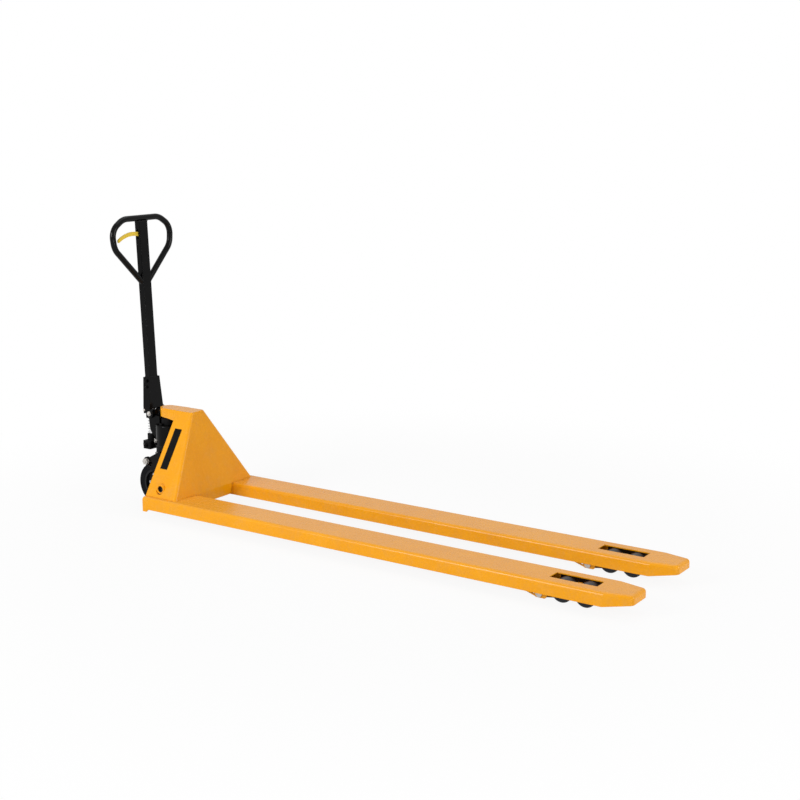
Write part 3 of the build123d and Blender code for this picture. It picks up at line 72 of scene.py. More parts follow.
# ---------------------------------------------------------------- finishes
class Sketch:
    """A material's node tree while it is drawn, in Object coordinates."""

    def __init__(self, name: str) -> None:
        """Start an empty material with a Principled shader.

        Args:
            name: Name of the material.
        """
        self.material = bpy.data.materials.new(name)
        self.material.use_nodes = True
        self.tree = self.material.node_tree
        self.shader = next(n for n in self.tree.nodes if n.type == "BSDF_PRINCIPLED")
        self.place = self.tree.nodes.new("ShaderNodeTexCoord").outputs["Object"]

    def put(self, socket: bpy.types.NodeSocket, value: object) -> None:
        """Link an output or set a value on an input socket.

        Args:
            socket: Input socket.
            value: Output socket, number or colour.
        """
        if isinstance(value, bpy.types.NodeSocket):
            self.tree.links.new(value, socket)
        elif isinstance(value, tuple) and len(value) == 3 and socket.type == "RGBA":
            socket.default_value = (*value, 1.0)
        else:
            socket.default_value = value

    def noise(self, scale: float, detail: float = 3.0, rough: float = 0.55,
              stretch: Point = (1.0, 1.0, 1.0)) -> bpy.types.NodeSocket:
        """Fractal noise over the surface.

        Args:
            scale: Cells per metre.
            detail: Octaves.
            rough: Weight of the fine octaves.
            stretch: Scale along each axis, for brushed or streaked patterns.

        Returns:
            The factor output.
        """
        mapping = self.tree.nodes.new("ShaderNodeMapping")
        mapping.inputs["Scale"].default_value = stretch
        self.put(mapping.inputs["Vector"], self.place)
        node = self.tree.nodes.new("ShaderNodeTexNoise")
        self.put(node.inputs["Vector"], mapping.outputs[0])
        for key, value in (("Scale", scale), ("Detail", detail), ("Roughness", rough)):
            self.put(node.inputs[key], value)
        return node.outputs[0]

    def ramp(self, value: bpy.types.NodeSocket, low: float, high: float, out_low: float = 0.0,
             out_high: float = 1.0) -> bpy.types.NodeSocket:
        """Clamped linear remap of a value.

        Args:
            value: Output to remap.
            low: Value that gives out_low.
            high: Value that gives out_high.
            out_low: First result.
            out_high: Last result.

        Returns:
            The remapped output.
        """
        node = self.tree.nodes.new("ShaderNodeMapRange")
        for index, entry in enumerate((value, low, high, out_low, out_high)):
            self.put(node.inputs[index], entry)
        return node.outputs[0]

    def math(self, kind: str, first: object, second: object = 0.0) -> bpy.types.NodeSocket:
        """Math on two values.

        Args:
            kind: Blender's operation name.
            first: First operand.
            second: Second operand.

        Returns:
            The result output.
        """
        node = self.tree.nodes.new("ShaderNodeMath")
        node.operation = kind
        self.put(node.inputs[0], first)
        self.put(node.inputs[1], second)
        return node.outputs[0]

    def product(self, first: object, *others: object) -> bpy.types.NodeSocket:
        """Product of values.

        Args:
            first: First factor.
            others: The other factors.

        Returns:
            The result output.
        """
        for other in others:
            first = self.math("MULTIPLY", first, other)
        return first

    def mix(self, factor: object, first: object, second: object) -> bpy.types.NodeSocket:
        """Mix of two colours.

        Args:
            factor: Share of the second colour.
            first: First colour.
            second: Second colour.

        Returns:
            The mixed colour.
        """
        node = self.tree.nodes.new("ShaderNodeMix")
        node.data_type = "RGBA"
        self.put(node.inputs["Factor"], factor)
        self.put(node.inputs[MIX_FIRST], first)
        self.put(node.inputs[MIX_SECOND], second)
        return node.outputs[MIX_RESULT]

    def bump(self, height: bpy.types.NodeSocket, depth: float,
             normal: Optional[bpy.types.NodeSocket] = None) -> bpy.types.NodeSocket:
        """Bump from a height.

        Args:
            height: Height output, 0 to 1.
            depth: Depth in metres.
            normal: Normal that it starts from.

        Returns:
            The bent normal.
        """
        node = self.tree.nodes.new("ShaderNodeBump")
        self.put(node.inputs["Height"], height)
        self.put(node.inputs["Distance"], depth)
        if normal is not None:
            self.put(node.inputs["Normal"], normal)
        return node.outputs[0]

    def edges(self, radius: float) -> tuple[bpy.types.NodeSocket, bpy.types.NodeSocket]:
        """Rounded normal at edges, and how far it bends from the flat one.

        Args:
            radius: Rounding radius in metres.

        Returns:
            The rounded normal, and a mask that rises at edges.
        """
        bevel = self.tree.nodes.new("ShaderNodeBevel")
        bevel.samples = BEVEL_SAMPLES
        self.put(bevel.inputs["Radius"], radius)
        flat = self.tree.nodes.new("ShaderNodeNewGeometry").outputs["True Normal"]
        dot = self.tree.nodes.new("ShaderNodeVectorMath")
        dot.operation = "DOT_PRODUCT"
        self.put(dot.inputs[0], bevel.outputs[0])
        self.put(dot.inputs[1], flat)
        return bevel.outputs[0], self.math("SUBTRACT", 1.0, dot.outputs["Value"])

    def upward(self) -> bpy.types.NodeSocket:
        """How far the surface faces up, 1 for level."""
        node = self.tree.nodes.new("ShaderNodeSeparateXYZ")
        self.put(node.inputs[0], self.tree.nodes.new("ShaderNodeNewGeometry").outputs["True Normal"])
        return node.outputs["Z"]

    def height(self) -> bpy.types.NodeSocket:
        """Height above the floor in metres."""
        node = self.tree.nodes.new("ShaderNodeSeparateXYZ")
        self.put(node.inputs[0], self.place)
        return node.outputs["Z"]

    def finish(self, sockets: dict[str, object]) -> bpy.types.Material:
        """Feed the shader and hand the material over.

        Args:
            sockets: Outputs or values by the names of the shader's sockets.

        Returns:
            The material.
        """
        for name, value in sockets.items():
            self.put(self.shader.inputs[name], value)
        return self.material


@dataclass(frozen=True)
class Paint:
    """Sprayed or powder-coated steel with orange peel, rounded edges, wear, dust and a painted sheen on level
    faces.

    Attributes:
        name: Name of the material.
        colour: Colour of the paint.
        shade: Colour of its darker patches.
        roughness: Roughness of clean paint.
        edge: Rounding of the edges in metres.
        peel: Depth of the orange peel in metres.
        worn: Colour of worn edges.
        wear: Strength of the wear.
        dust: Colour of the dust.
        dusty: Strength of the dust.
        splash: Height in metres up to which the dust thins out.
        specular: Strength of the highlights.
        haze: Colour of the painted sheen on level faces, standing for the sky's reflection.
        settled: Strength of the painted sheen.
    """

    name: str
    colour: Colour
    shade: Colour
    roughness: float = 0.3
    edge: float = 0.0012
    peel: float = 0.00006
    worn: Colour = (0.35, 0.33, 0.30)
    wear: float = 0.35
    dust: Colour = (0.30, 0.27, 0.22)
    dusty: float = 0.12
    splash: float = 0.45
    specular: float = 0.3
    # painted sheen: a tan tint on level faces that stands for the sky's reflection
    haze: Colour = (0.66, 0.44, 0.34)
    settled: float = 0.0

    def build(self) -> bpy.types.Material:
        """Draw the material."""
        ink = Sketch(self.name)
        rounded, edge = ink.edges(self.edge)
        mottle = ink.noise(scale=7.0, detail=4.0)
        colour = ink.mix(ink.ramp(mottle, 0.35, 0.68), self.colour, self.shade)
        # painted sheen: upward-facing faces take the tint, as if they reflected the sky
        level = ink.ramp(ink.upward(), 0.6, 1.0)
        film = ink.product(level, ink.ramp(mottle, 0.2, 0.8, out_low=0.8, out_high=1.1), self.settled)
        colour = ink.mix(film, colour, self.haze)
        patches = ink.ramp(ink.noise(scale=23.0, detail=6.0, rough=0.65), 0.48, 0.72)
        low = ink.ramp(ink.height(), self.splash, 0.0, out_low=0.35, out_high=1.0)
        grime = ink.product(patches, low, self.dusty)
        colour = ink.mix(grime, colour, self.dust)
        flakes = ink.ramp(ink.noise(scale=130.0, detail=5.0, rough=0.7), 0.56, 0.62)
        chips = ink.product(ink.ramp(edge, 0.04, 0.16), flakes, self.wear)
        spray = ink.noise(scale=60.0, detail=4.0)
        rough = ink.ramp(spray, 0.3, 0.7, self.roughness - 0.05, self.roughness + 0.07)
        wavy = ink.bump(ink.noise(scale=2.6, detail=2.0), 0.0012, rounded)
        return ink.finish({
            "Base Color": ink.mix(chips, colour, self.worn),
            "Roughness": ink.math("ADD", rough, ink.product(grime, 0.5)),
            "Metallic": ink.product(chips, 0.8),
            "Specular IOR Level": self.specular,
            "Normal": ink.bump(ink.noise(scale=900.0, detail=2.0), self.peel, wavy),
        })


@dataclass(frozen=True)
class Metal:
    """Bare or plated metal, brushed or turned, with stains.

    Attributes:
        name: Name of the material.
        colour: Colour of clean metal.
        stain: Colour of the stains.
        roughness: Roughness of clean metal.
        grain: Stretch of the brushing along each axis.
        depth: Depth of the brushing in metres.
        stained: Strength of the stains.
        metallic: Share of bare metal.
        edge: Rounding of the edges in metres.
        polish: Colour of rubbed edges.
    """

    name: str
    colour: Colour
    stain: Colour
    roughness: float = 0.32
    grain: Point = (40.0, 1.0, 40.0)
    depth: float = 0.00004
    stained: float = 0.35
    metallic: float = 1.0
    edge: float = 0.0006
    polish: Colour = (0.85, 0.84, 0.82)

    def build(self) -> bpy.types.Material:
        """Draw the material."""
        ink = Sketch(self.name)
        rounded, edge = ink.edges(self.edge)
        brushed = ink.noise(scale=28.0, detail=5.0, rough=0.7, stretch=self.grain)
        spots = ink.product(ink.ramp(ink.noise(scale=85.0, detail=6.0, rough=0.65), 0.5, 0.72), self.stained)
        colour = ink.mix(spots, self.colour, self.stain)
        rough = ink.ramp(brushed, 0.3, 0.7, self.roughness - 0.08, self.roughness + 0.1)
        return ink.finish({
            "Base Color": ink.mix(ink.product(ink.ramp(edge, 0.03, 0.2), 0.35), colour, self.polish),
            "Roughness": ink.math("ADD", rough, ink.product(spots, 0.25)),
            "Metallic": self.metallic,
            "Normal": ink.bump(brushed, self.depth, rounded),
        })


@dataclass(frozen=True)
class Cast:
    """Cast iron or moulded material: grainy, dull, with dust in its pores.

    Attributes:
        name: Name of the material.
        colour: Colour of the body.
        dust: Colour of the dust.
        roughness: Mean roughness.
        grain: Grains per metre.
        depth: Depth of the grain in metres.
        dusty: Strength of the dust.
        splash: Height in metres up to which the dust thins out.
        edge: Rounding of the edges in metres.
        gloss: Colour of rubbed edges.
        rubbed: Strength of the rubbing.
        specular: Strength of the highlights.
    """

    name: str
    colour: Colour
    dust: Colour
    roughness: float = 0.6
    grain: float = 420.0
    depth: float = 0.00025
    dusty: float = 0.4
    splash: float = 0.5
    edge: float = 0.0012
    gloss: Colour = (0.16, 0.16, 0.16)
    rubbed: float = 0.4
    specular: float = 0.22

    def build(self) -> bpy.types.Material:
        """Draw the material."""
        ink = Sketch(self.name)
        rounded, edge = ink.edges(self.edge)
        grit = ink.noise(scale=self.grain, detail=4.0, rough=0.6)
        cloud = ink.ramp(ink.noise(scale=18.0, detail=5.0, rough=0.6), 0.42, 0.72)
        low = ink.ramp(ink.height(), self.splash, 0.0, out_low=0.4, out_high=1.0)
        colour = ink.mix(ink.product(cloud, low, self.dusty), self.colour, self.dust)
        rub = ink.product(ink.ramp(edge, 0.05, 0.2), self.rubbed)
        return ink.finish({
            "Base Color": ink.mix(rub, colour, self.gloss),
            "Roughness": ink.ramp(grit, 0.3, 0.7, self.roughness - 0.07, self.roughness + 0.1),
            "Specular IOR Level": self.specular,
            "Normal": ink.bump(grit, self.depth, rounded),
        })


class Finishes:
    """Every finish of the truck, built once."""

    def __init__(self) -> None:
        """Draw all materials."""
        made = (
            # the yellow enamel carries a little painted sheen on its level faces
            Paint("yellow_enamel", (0.91, 0.380, 0.004), (0.87, 0.350, 0.003), roughness=0.24, specular=0.28,
                  settled=0.08),
            # painted shade: a darkened copy of the yellow enamel, dark dust included, for the roller frames
            # in the forks' shade
            Paint("bay_enamel", (0.16, 0.060, 0.004), (0.09, 0.032, 0.003), roughness=0.36, specular=0.15,
                  dust=(0.02, 0.015, 0.01), dusty=0.4),
            Paint("black_enamel", (0.0012, 0.0012, 0.0014), (0.0022, 0.0022, 0.0025), roughness=0.17,
                  worn=(0.10, 0.095, 0.09), wear=0.2, dust=(0.03, 0.028, 0.025), dusty=0.12, specular=0.11),
            Paint("grip_enamel", (0.0008, 0.0008, 0.0010), (0.0014, 0.0014, 0.0016), roughness=0.10,
                  worn=(0.10, 0.095, 0.09), wear=0.2, dust=(0.03, 0.028, 0.025), dusty=0.1, specular=0.16),
            Paint("strip_film", (0.0015, 0.0015, 0.0018), (0.0022, 0.0022, 0.0026), roughness=0.3,
                  edge=0.0003, wear=0.0, dusty=0.04, specular=0.10),
            Cast("black_casting", (0.0040, 0.0040, 0.0045), (0.020, 0.019, 0.017), gloss=(0.03, 0.03, 0.03),
                 specular=0.10),
            Cast("hub_casting", (0.004, 0.004, 0.005), (0.020, 0.018, 0.016), roughness=0.5,
                 gloss=(0.05, 0.05, 0.05)),
            Cast("wheel_rubber", (0.0022, 0.0022, 0.0034), (0.016, 0.016, 0.016), roughness=0.55, grain=650.0,
                 depth=0.00012, edge=0.002, dusty=0.2, gloss=(0.02, 0.02, 0.022), rubbed=0.2, specular=0.09),
            Cast("roller_tread", (0.016, 0.020, 0.028), (0.05, 0.046, 0.042), roughness=0.3, grain=300.0,
                 depth=0.00006, edge=0.0015, dusty=0.25, specular=0.25),
            Cast("lever_plastic", (0.86, 0.60, 0.05), (0.45, 0.36, 0.14), roughness=0.4, grain=900.0,
                 depth=0.00005, dusty=0.1, gloss=(0.95, 0.78, 0.2), specular=0.35),
            Cast("weld_bead", (0.91, 0.385, 0.012), (0.50, 0.24, 0.03), roughness=0.34, grain=700.0,
                 depth=0.0001, dusty=0.3, gloss=(0.92, 0.45, 0.08), rubbed=0.2),
            Cast("black_weld", (0.0055, 0.0055, 0.006), (0.035, 0.032, 0.03), roughness=0.4, grain=700.0,
                 depth=0.0001, dusty=0.3, gloss=(0.06, 0.06, 0.06), rubbed=0.2),
            # painted shade: dark colour for the sheets in the shaded roller bays
            Cast("bay_film", (0.020, 0.010, 0.004), (0.05, 0.028, 0.010), roughness=0.6,
                 gloss=(0.05, 0.03, 0.01), specular=0.10),
            Metal("hard_chrome", (0.80, 0.80, 0.81), (0.45, 0.42, 0.38), roughness=0.12,
                  grain=(1.0, 1.0, 60.0), depth=0.00001, stained=0.12),
            Metal("zinc_steel", (0.58, 0.56, 0.53), (0.33, 0.29, 0.24), roughness=0.34, metallic=0.6),
            Metal("spring_steel", (0.52, 0.52, 0.52), (0.22, 0.19, 0.15), roughness=0.28,
                  grain=(30.0, 30.0, 2.0), metallic=0.7),
            # painted shade: dark colour for the recesses of the shaft bushes
            Metal("dark_lining", (0.045, 0.030, 0.018), (0.06, 0.035, 0.02), roughness=0.6, stained=0.5,
                  metallic=0.3),
            Metal("dark_steel", (0.085, 0.08, 0.078), (0.12, 0.075, 0.045), roughness=0.45, stained=0.5),
        )
        self.by_name = {finish.name: finish.build() for finish in made}

    def __getitem__(self, name: str) -> bpy.types.Material:
        """Material of that name."""
        return self.by_name[name]


# ---------------------------------------------------------------- mesh work
@dataclass(frozen=True)
class Nut:
    """Sizes of a hexagon nut or head; a washer radius of 0 leaves the washer out."""

    flats: float
    height: float
    washer: float = 0.0


@dataclass(frozen=True)
class Collar:
    """Sizes of a flat ring."""

    outer: float
    inner: float
    height: float
    bevel: float = 0.0004


@dataclass(frozen=True)
class Wire:
    """Sizes of a round ring of wire."""

    radius: float
    wire: float
    steps: int = 40
    sides: int = 10


def middle(node: str) -> Point:
    """Middle of a CAD node's box.

    Args:
        node: Name of the node.

    Returns:
        The point.
    """
    low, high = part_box(node)
    return tuple((first + last) / 2 for first, last in zip(low, high))


def faces(node: str) -> tuple[tuple[float, int], tuple[float, int]]:
    """Both faces of a CAD node across the truck.

    Args:
        node: Name of the node.

    Returns:
        The place in Y and the outward way of each face.
    """
    low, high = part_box(node)
    return (high.y, 1), (low.y, -1)


class Forge:
    """Bmesh under construction, shaped with operators in the truck's frame."""

    # washer under a nut
    WASHER: float = 0.0018
    WASHER_BEVEL: float = 0.0003
    WASHER_SIDES: int = 32
    # chamfer of a nut and radius, rounding and proud end of its stud, as shares of the flats
    CHAMFER: float = 0.05
    STUD: float = 0.28
    STUD_BEVEL: float = 0.03
    STUD_PROUD: float = 0.08
    STUD_SIDES: int = 20
    # stud's foot and top, as shares of the nut's height
    STUD_SPAN: tuple[float, float] = (0.9, 1.02)
    # weld drops: spacing, sideways sway and swell as (share of the bead, turn per drop), and height
    PITCH: float = 0.0032
    SWAYS: tuple[tuple[float, float], ...] = ((0.12, 2.4), (0.08, 1.1))
    SWELL: tuple[float, float] = (0.08, 1.7)
    BEAD_HEIGHT: float = 0.75
    # steps of a ring's spin, distance at which points merge, and angle in degrees of a sharp edge
    STEPS: int = 40
    WELD: float = 1e-6
    SHARP: float = 35.0

    def __init__(self) -> None:
        """Start with an empty mesh."""
        self.mesh = bmesh.new()

    @staticmethod
    def seat(place: Point, axis: Point) -> Matrix:
        """Matrix that carries +Z to an axis at a place.

        Args:
            place: Where the origin goes.
            axis: Where +Z points.

        Returns:
            The matrix.
        """
        turn = Vector(axis).to_track_quat("Z", "Y").to_matrix().to_4x4()
        return Matrix.Translation(Vector(place)) @ turn

    def soften(self, edges: set[bmesh.types.BMEdge], width: float) -> None:
        """Round some edges.

        Args:
            edges: The edges.
            width: Width of the rounding.
        """
        bmesh.ops.bevel(self.mesh, geom=list(edges), offset=width, segments=2, profile=0.5, affect="EDGES",
                        material=-1)

    def prism(self, start: Vector, end: Vector, radius: float, sides: int) -> set[bmesh.types.BMEdge]:
        """Regular prism between two points.

        Args:
            start: Centre of the first end.
            end: Centre of the last end.
            radius: Radius of its corners.
            sides: Number of sides.

        Returns:
            Its edges.
        """
        run = end - start
        made = bmesh.ops.create_cone(self.mesh, cap_ends=True, segments=sides, radius1=radius, radius2=radius,
                                     depth=run.length, matrix=self.seat((start + end) / 2, run))
        return {edge for vert in made["verts"] for edge in vert.link_edges}

    def bar(self, start: Point, end: Point, radius: float, sides: int = 28, bevel: float = 0.0) -> None:
        """Round bar between two points.

        Args:
            start: Centre of the first end.
            end: Centre of the last end.
            radius: Radius.
            sides: Number of sides.
            bevel: Width of the rounding at both ends.
        """
        edges = self.prism(Vector(start), Vector(end), radius, sides)
        along = (Vector(end) - Vector(start)).normalized()
        if bevel:
            self.soften({edge for edge in edges
                         if abs((edge.verts[0].co - edge.verts[1].co).normalized().dot(along)) < 0.5}, bevel)

    def nut(self, place: Point, axis: Point, size: Nut) -> None:
        """Hexagon nut or head on its washer, with the stud's end.

        Args:
            place: Centre of the seat.
            axis: Where it points.
            size: Its sizes.
        """
        along = Vector(axis).normalized()
        base = Vector(place)
        if size.washer:
            self.bar(base, base + along * self.WASHER, size.washer, self.WASHER_SIDES, self.WASHER_BEVEL)
            base = base + along * self.WASHER
        self.soften(self.prism(base, base + along * size.height, size.flats / math.sqrt(3), 6),
                    size.flats * self.CHAMFER)
        foot, top = (share * size.height for share in self.STUD_SPAN)
        self.bar(base + along * foot, base + along * (top + size.flats * self.STUD_PROUD),
                 size.flats * self.STUD, self.STUD_SIDES, size.flats * self.STUD_BEVEL)

    def spin(self, section: bmesh.types.BMesh, place: Point, axis: Point, steps: int) -> None:
        """Spin a section about Z, seat it and take it in.

        Args:
            section: The section, in X and Z.
            place: Where its origin goes.
            axis: Where its +Z points.
            steps: Steps of the spin.
        """
        bmesh.ops.spin(section, geom=section.verts[:] + section.edges[:], cent=(0, 0, 0), axis=(0, 0, 1),
                       angle=2 * math.pi, steps=steps, use_merge=True)
        bmesh.ops.transform(section, matrix=self.seat(place, axis), verts=section.verts)
        self.take(section)

    def ring(self, place: Point, axis: Point, size: Collar) -> None:
        """Flat ring spun from its section.

        Args:
            place: Centre of the lower face.
            axis: Where it points.
            size: Its sizes.
        """
        section = bmesh.new()
        bmesh.ops.create_grid(section, x_segments=1, y_segments=1, size=0.5)
        bmesh.ops.scale(section, vec=(size.outer - size.inner, size.height, 1.0), verts=section.verts)
        bmesh.ops.bevel(section, geom=section.verts[:], offset=size.bevel, segments=2, profile=0.5,
                        affect="VERTICES", material=-1)
        bmesh.ops.delete(section, geom=section.faces[:], context="FACES_ONLY")
        upright = Matrix.Rotation(math.pi / 2, 3, "X")
        bmesh.ops.rotate(section, cent=(0, 0, 0), matrix=upright, verts=section.verts)
        centre = ((size.outer + size.inner) / 2, 0, size.height / 2)
        bmesh.ops.translate(section, vec=centre, verts=section.verts)
        self.spin(section, place, axis, self.STEPS)

    def torus(self, place: Point, axis: Point, size: Wire) -> None:
        """Round ring of wire.

        Args:
            place: Its centre.
            axis: Axis of the ring.
            size: Its sizes.
        """
        section = bmesh.new()
        upright = Matrix.Rotation(math.pi / 2, 4, "X")
        bmesh.ops.create_circle(section, segments=size.sides, radius=size.wire,
                                matrix=Matrix.Translation((size.radius, 0, 0)) @ upright)
        self.spin(section, place, axis, size.steps)

    def bead(self, points: Sequence[Point], radius: float, pitch: float = PITCH) -> None:
        """Weld bead: overlapping flattened drops along a line, uneven as if laid by hand.

        Args:
            points: Corners of the line.
            radius: Half width of the bead.
            pitch: Distance from drop to drop.
        """
        for first, last in zip(points, points[1:]):
            start, run = Vector(first), Vector(last) - Vector(first)
            count = max(2, round(run.length / pitch))
            turn = run.to_track_quat("Z", "Y").to_matrix().to_4x4()
            for index in range(count + 1):
                sway = radius * sum(share * math.sin(index * rate) for share, rate in self.SWAYS)
                size = 1.0 + self.SWELL[0] * math.sin(index * self.SWELL[1])
                place = start + run * (index / count) + turn.to_3x3() @ Vector((sway, sway, 0.0))
                shape = Matrix.Diagonal((radius * size, radius * size, radius * self.BEAD_HEIGHT, 1.0))
                bmesh.ops.create_uvsphere(self.mesh, u_segments=8, v_segments=5, radius=1.0,
                                          matrix=Matrix.Translation(place) @ turn @ shape)

    def loop_bead(self, place: Point, axis: Point, ring: float, radius: float) -> None:
        """Weld bead round a bar.

        Args:
            place: Centre of the bar where it meets the plate.
            axis: Axis of the bar.
            ring: Radius of the bar.
            radius: Half width of the bead.
        """
        seat = self.seat(place, axis)
        count = max(10, round(2 * math.pi * ring / self.PITCH))
        turns = [2 * math.pi * index / count for index in range(count + 1)]
        points = [tuple(seat @ Vector((ring * math.cos(turn), ring * math.sin(turn), 0.0))) for turn in turns]
        self.bead(points, radius, 1.0)

    def block(self, low: Point, high: Point) -> None:
        """Box between its corners.

        Args:
            low: Lowest corner.
            high: Highest corner.
        """
        size = Vector(high) - Vector(low)
        centre = (Vector(high) + Vector(low)) / 2
        bmesh.ops.create_cube(self.mesh, size=1.0,
                              matrix=Matrix.Translation(centre) @ Matrix.Diagonal((*size, 1.0)))

    def turn(self, degrees: float, centre: Point, axis: Point) -> None:
        """Turn everything made so far.

        Args:
            degrees: Angle.
            centre: A point on the axis.
            axis: Axis.
        """
        turn = Matrix.Rotation(math.radians(degrees), 3, Vector(axis))
        bmesh.ops.rotate(self.mesh, cent=centre, matrix=turn, verts=self.mesh.verts)

    def twin(self) -> None:
        """Add the mirror image across the truck's middle."""
        other = self.mesh.copy()
        bmesh.ops.scale(other, vec=(1.0, -1.0, 1.0), verts=other.verts)
        bmesh.ops.reverse_faces(other, faces=other.faces)
        self.take(other)

    def take(self, other: bmesh.types.BMesh) -> None:
        """Join another bmesh into this one and free it.

        Args:
            other: The mesh to take in.
        """
        carrier = bpy.data.meshes.new("carrier")
        other.to_mesh(carrier)
        other.free()
        self.mesh.from_mesh(carrier)
        bpy.data.meshes.remove(carrier)

    def piece(self, name: str, material: bpy.types.Material, body: str) -> None:
        """Finish the mesh as a piece that rides on a body.

        Args:
            name: Name of the piece.
            material: Its material.
            body: CAD body that it moves with.
        """
        bmesh.ops.remove_doubles(self.mesh, verts=self.mesh.verts, dist=self.WELD)
        bmesh.ops.recalc_face_normals(self.mesh, faces=self.mesh.faces)
        for face in self.mesh.faces:
            face.smooth = True
        data = bpy.data.meshes.new(name)
        self.mesh.to_mesh(data)
        self.mesh.free()
        data.set_sharp_from_angle(angle=math.radians(self.SHARP))
        data.materials.append(material)
        made = bpy.data.objects.new(name, data)
        bpy.context.scene.collection.objects.link(made)
        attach(made, body)
        LOG.info("piece %s on %s: %d faces", name, body, len(data.polygons))


# ---------------------------------------------------------------- sub-assemblies
@dataclass
class Chassis:
    """Weld seams of head, forks and cross tube, and painted shade in the bush mouths and the roller bays."""

    finishes: Finishes
    bead: float = 0.0026
    fine_bead: float = 0.00208
    strap_bead: float = 0.00234
    lift: float = 0.0006  # seam centre over the sheet it lies on
    proud: float = 0.0008  # seam centre before the plate it follows
    stop: float = 0.004  # seam's end to the corner of the sheet
    fold: float = 0.013  # outside radius of the head's folds
    fork_length: float = 2.0
    fork_inner: float = 0.110
    side_foot: float = 0.241
    lean: float = (241.0 - 38.0) / 319.0
    head_rear: float = 0.161
    sheet: float = 0.004
    cap_depth: float = 0.038
    cap_inset: float = 0.0022
    cap_start: float = 0.001
    cap_stop: float = 0.006
    tie_radius: float = 0.015
    strap_length: float = 0.067
    strap_stop: float = 0.003
    guide_length: float = 0.03
    guide_stop: float = 0.002
    guide_y: float = 0.185
    guide_half: float = 0.0171
    # painted shade in the bush mouths: wall, air and depth of the lining, and the end disc
    liner: float = 0.0006
    liner_air: float = 0.0002
    liner_depth: float = 0.0026
    disc_air: float = 0.0007
    disc_hole: float = 0.0035
    disc: float = 0.0012
    # thickness and gap of the painted shade sheets in the roller bays
    film: float = 0.0004
    # reach and height of the painted shade sheets in the roller bays
    bay_rear: float = 0.15
    bay_front: float = 0.03
    bay_depth: float = 0.041
    bay_corner: float = 0.009
    foot_x: float = field(init=False)
    top_z: float = field(init=False)

    def __post_init__(self) -> None:
        """Take the places of the forks and head from the frame."""
        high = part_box("fork_left")[1]
        self.foot_x = high.x - self.fork_length
        self.top_z = high.z

    def build(self) -> None:
        """Make all seams and the painted shade."""
        self.head_seams()
        self.cap_seams()
        self.tube_seams()
        self.under_seams()
        self.bush_liners()
        self.bay_linings()

    def head_seams(self) -> None:
        """Seams of the leaning plate and the side plates on the forks."""
        forge = Forge()
        front, foot = self.foot_x + self.proud, self.top_z + self.lift
        forge.bead([(front, self.fork_inner + self.stop, foot), (front, self.side_foot - self.fold, foot)],
                   self.bead)
        side, rear = self.side_foot + self.proud, self.foot_x - self.head_rear
        forge.bead([(self.foot_x - self.fold, side, foot), (rear + self.stop, side, foot)], self.bead)
        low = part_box("head_frame")[0].z
        x, y = self.foot_x + self.lift, self.fork_inner - self.lift
        forge.bead([(x, y, low + self.stop), (x, y, self.top_z)], self.fine_bead)
        forge.twin()
        forge.piece("head_seams", self.finishes["weld_bead"], "chassis")

    def cap_seams(self) -> None:
        """Seams between the cap's neck and the rear edges of the side plates."""
        forge = Forge()
        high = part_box("head_frame")[1].z
        low = high - self.cap_depth
        rear = self.foot_x - self.head_rear
        half_low, half_high = (self.side_foot - self.lean * (z - self.top_z) - self.cap_inset
                               for z in (low, high))
        forge.bead([(rear, half_low, low + self.cap_start), (rear, half_high, high - self.cap_stop)],
                   self.fine_bead)
        forge.twin()
        forge.piece("cap_seams", self.finishes["weld_bead"], "chassis")

    def tube_seams(self) -> None:
        """Seams round the ends of the cross tube."""
        forge = Forge()
        x, _, z = middle("tie_tube")
        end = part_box("tie_tube")[1].y - self.proud
        forge.loop_bead((x, end, z), (0, 1, 0), self.tie_radius + self.lift, self.fine_bead)
        forge.twin()
        forge.piece("cross_tube_seams", self.finishes["weld_bead"], "chassis")

    def under_seams(self) -> None:
        """Seams of the brackets and guides under the fork tops."""
        forge = Forge()
        roof = self.top_z - self.sheet - self.lift
        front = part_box("roller_bracket_left")[1].x
        for face, way in reversed(faces("roller_bracket_left")):
            y = face + way * self.proud
            forge.bead([(front - self.strap_length, y, roof), (front - self.strap_stop, y, roof)],
                       self.strap_bead)
        low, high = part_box("rod_guides")
        for start in (low.x, high.x - self.guide_length):
            first, last = start + self.guide_stop, start + self.guide_length - self.guide_stop
            for y in (self.guide_y - self.guide_half, self.guide_y + self.guide_half):
                forge.bead([(first, y, roof), (last, y, roof)], self.fine_bead)
        forge.twin()
        forge.piece("under_seams", self.finishes["weld_bead"], "chassis")

    def bush_liners(self) -> None:
        """Painted shade: dark linings and end discs in the mouths of the shaft bushes, where the recess lies
        in shade.
        """
        low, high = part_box("rocker_shaft")
        x, _, z = middle("rocker_shaft")
        bore = (high.z - low.z) / 2
        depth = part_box("shaft_bushes")[1].y - high.y - self.liner_depth
        seat = (x, high.y + self.liner_air, z)
        forge = Forge()
        forge.ring(seat, (0, 1, 0), Collar(bore, bore - self.liner, depth, bevel=0.0002))
        forge.ring(seat, (0, 1, 0), Collar(bore - self.disc_air, self.disc_hole, self.disc, bevel=0.0003))
        forge.twin()
        forge.piece("bush_liners", self.finishes["dark_lining"], "chassis")

    def bay_linings(self) -> None:
        """Painted shade: dark sheets on the inner walls of each fork round its roller bay, which lies in
        shade.
        """
        low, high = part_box("fork_left")
        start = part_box("roller_tyre_rear_left")[0].x - self.bay_rear
        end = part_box("roller_tyre_front_left")[1].x + self.bay_front
        roof = high.z - self.sheet - self.film
        forge = Forge()
        for wall, inward in ((low.y + self.sheet, 1), (high.y - self.sheet, -1)):
            near, far = sorted((wall + inward * self.film, wall + 2 * inward * self.film))
            forge.block((start, near, roof - self.bay_depth), (end, far, roof - self.bay_corner))
        forge.twin()
        forge.piece("bay_linings", self.finishes["bay_film"], "chassis")


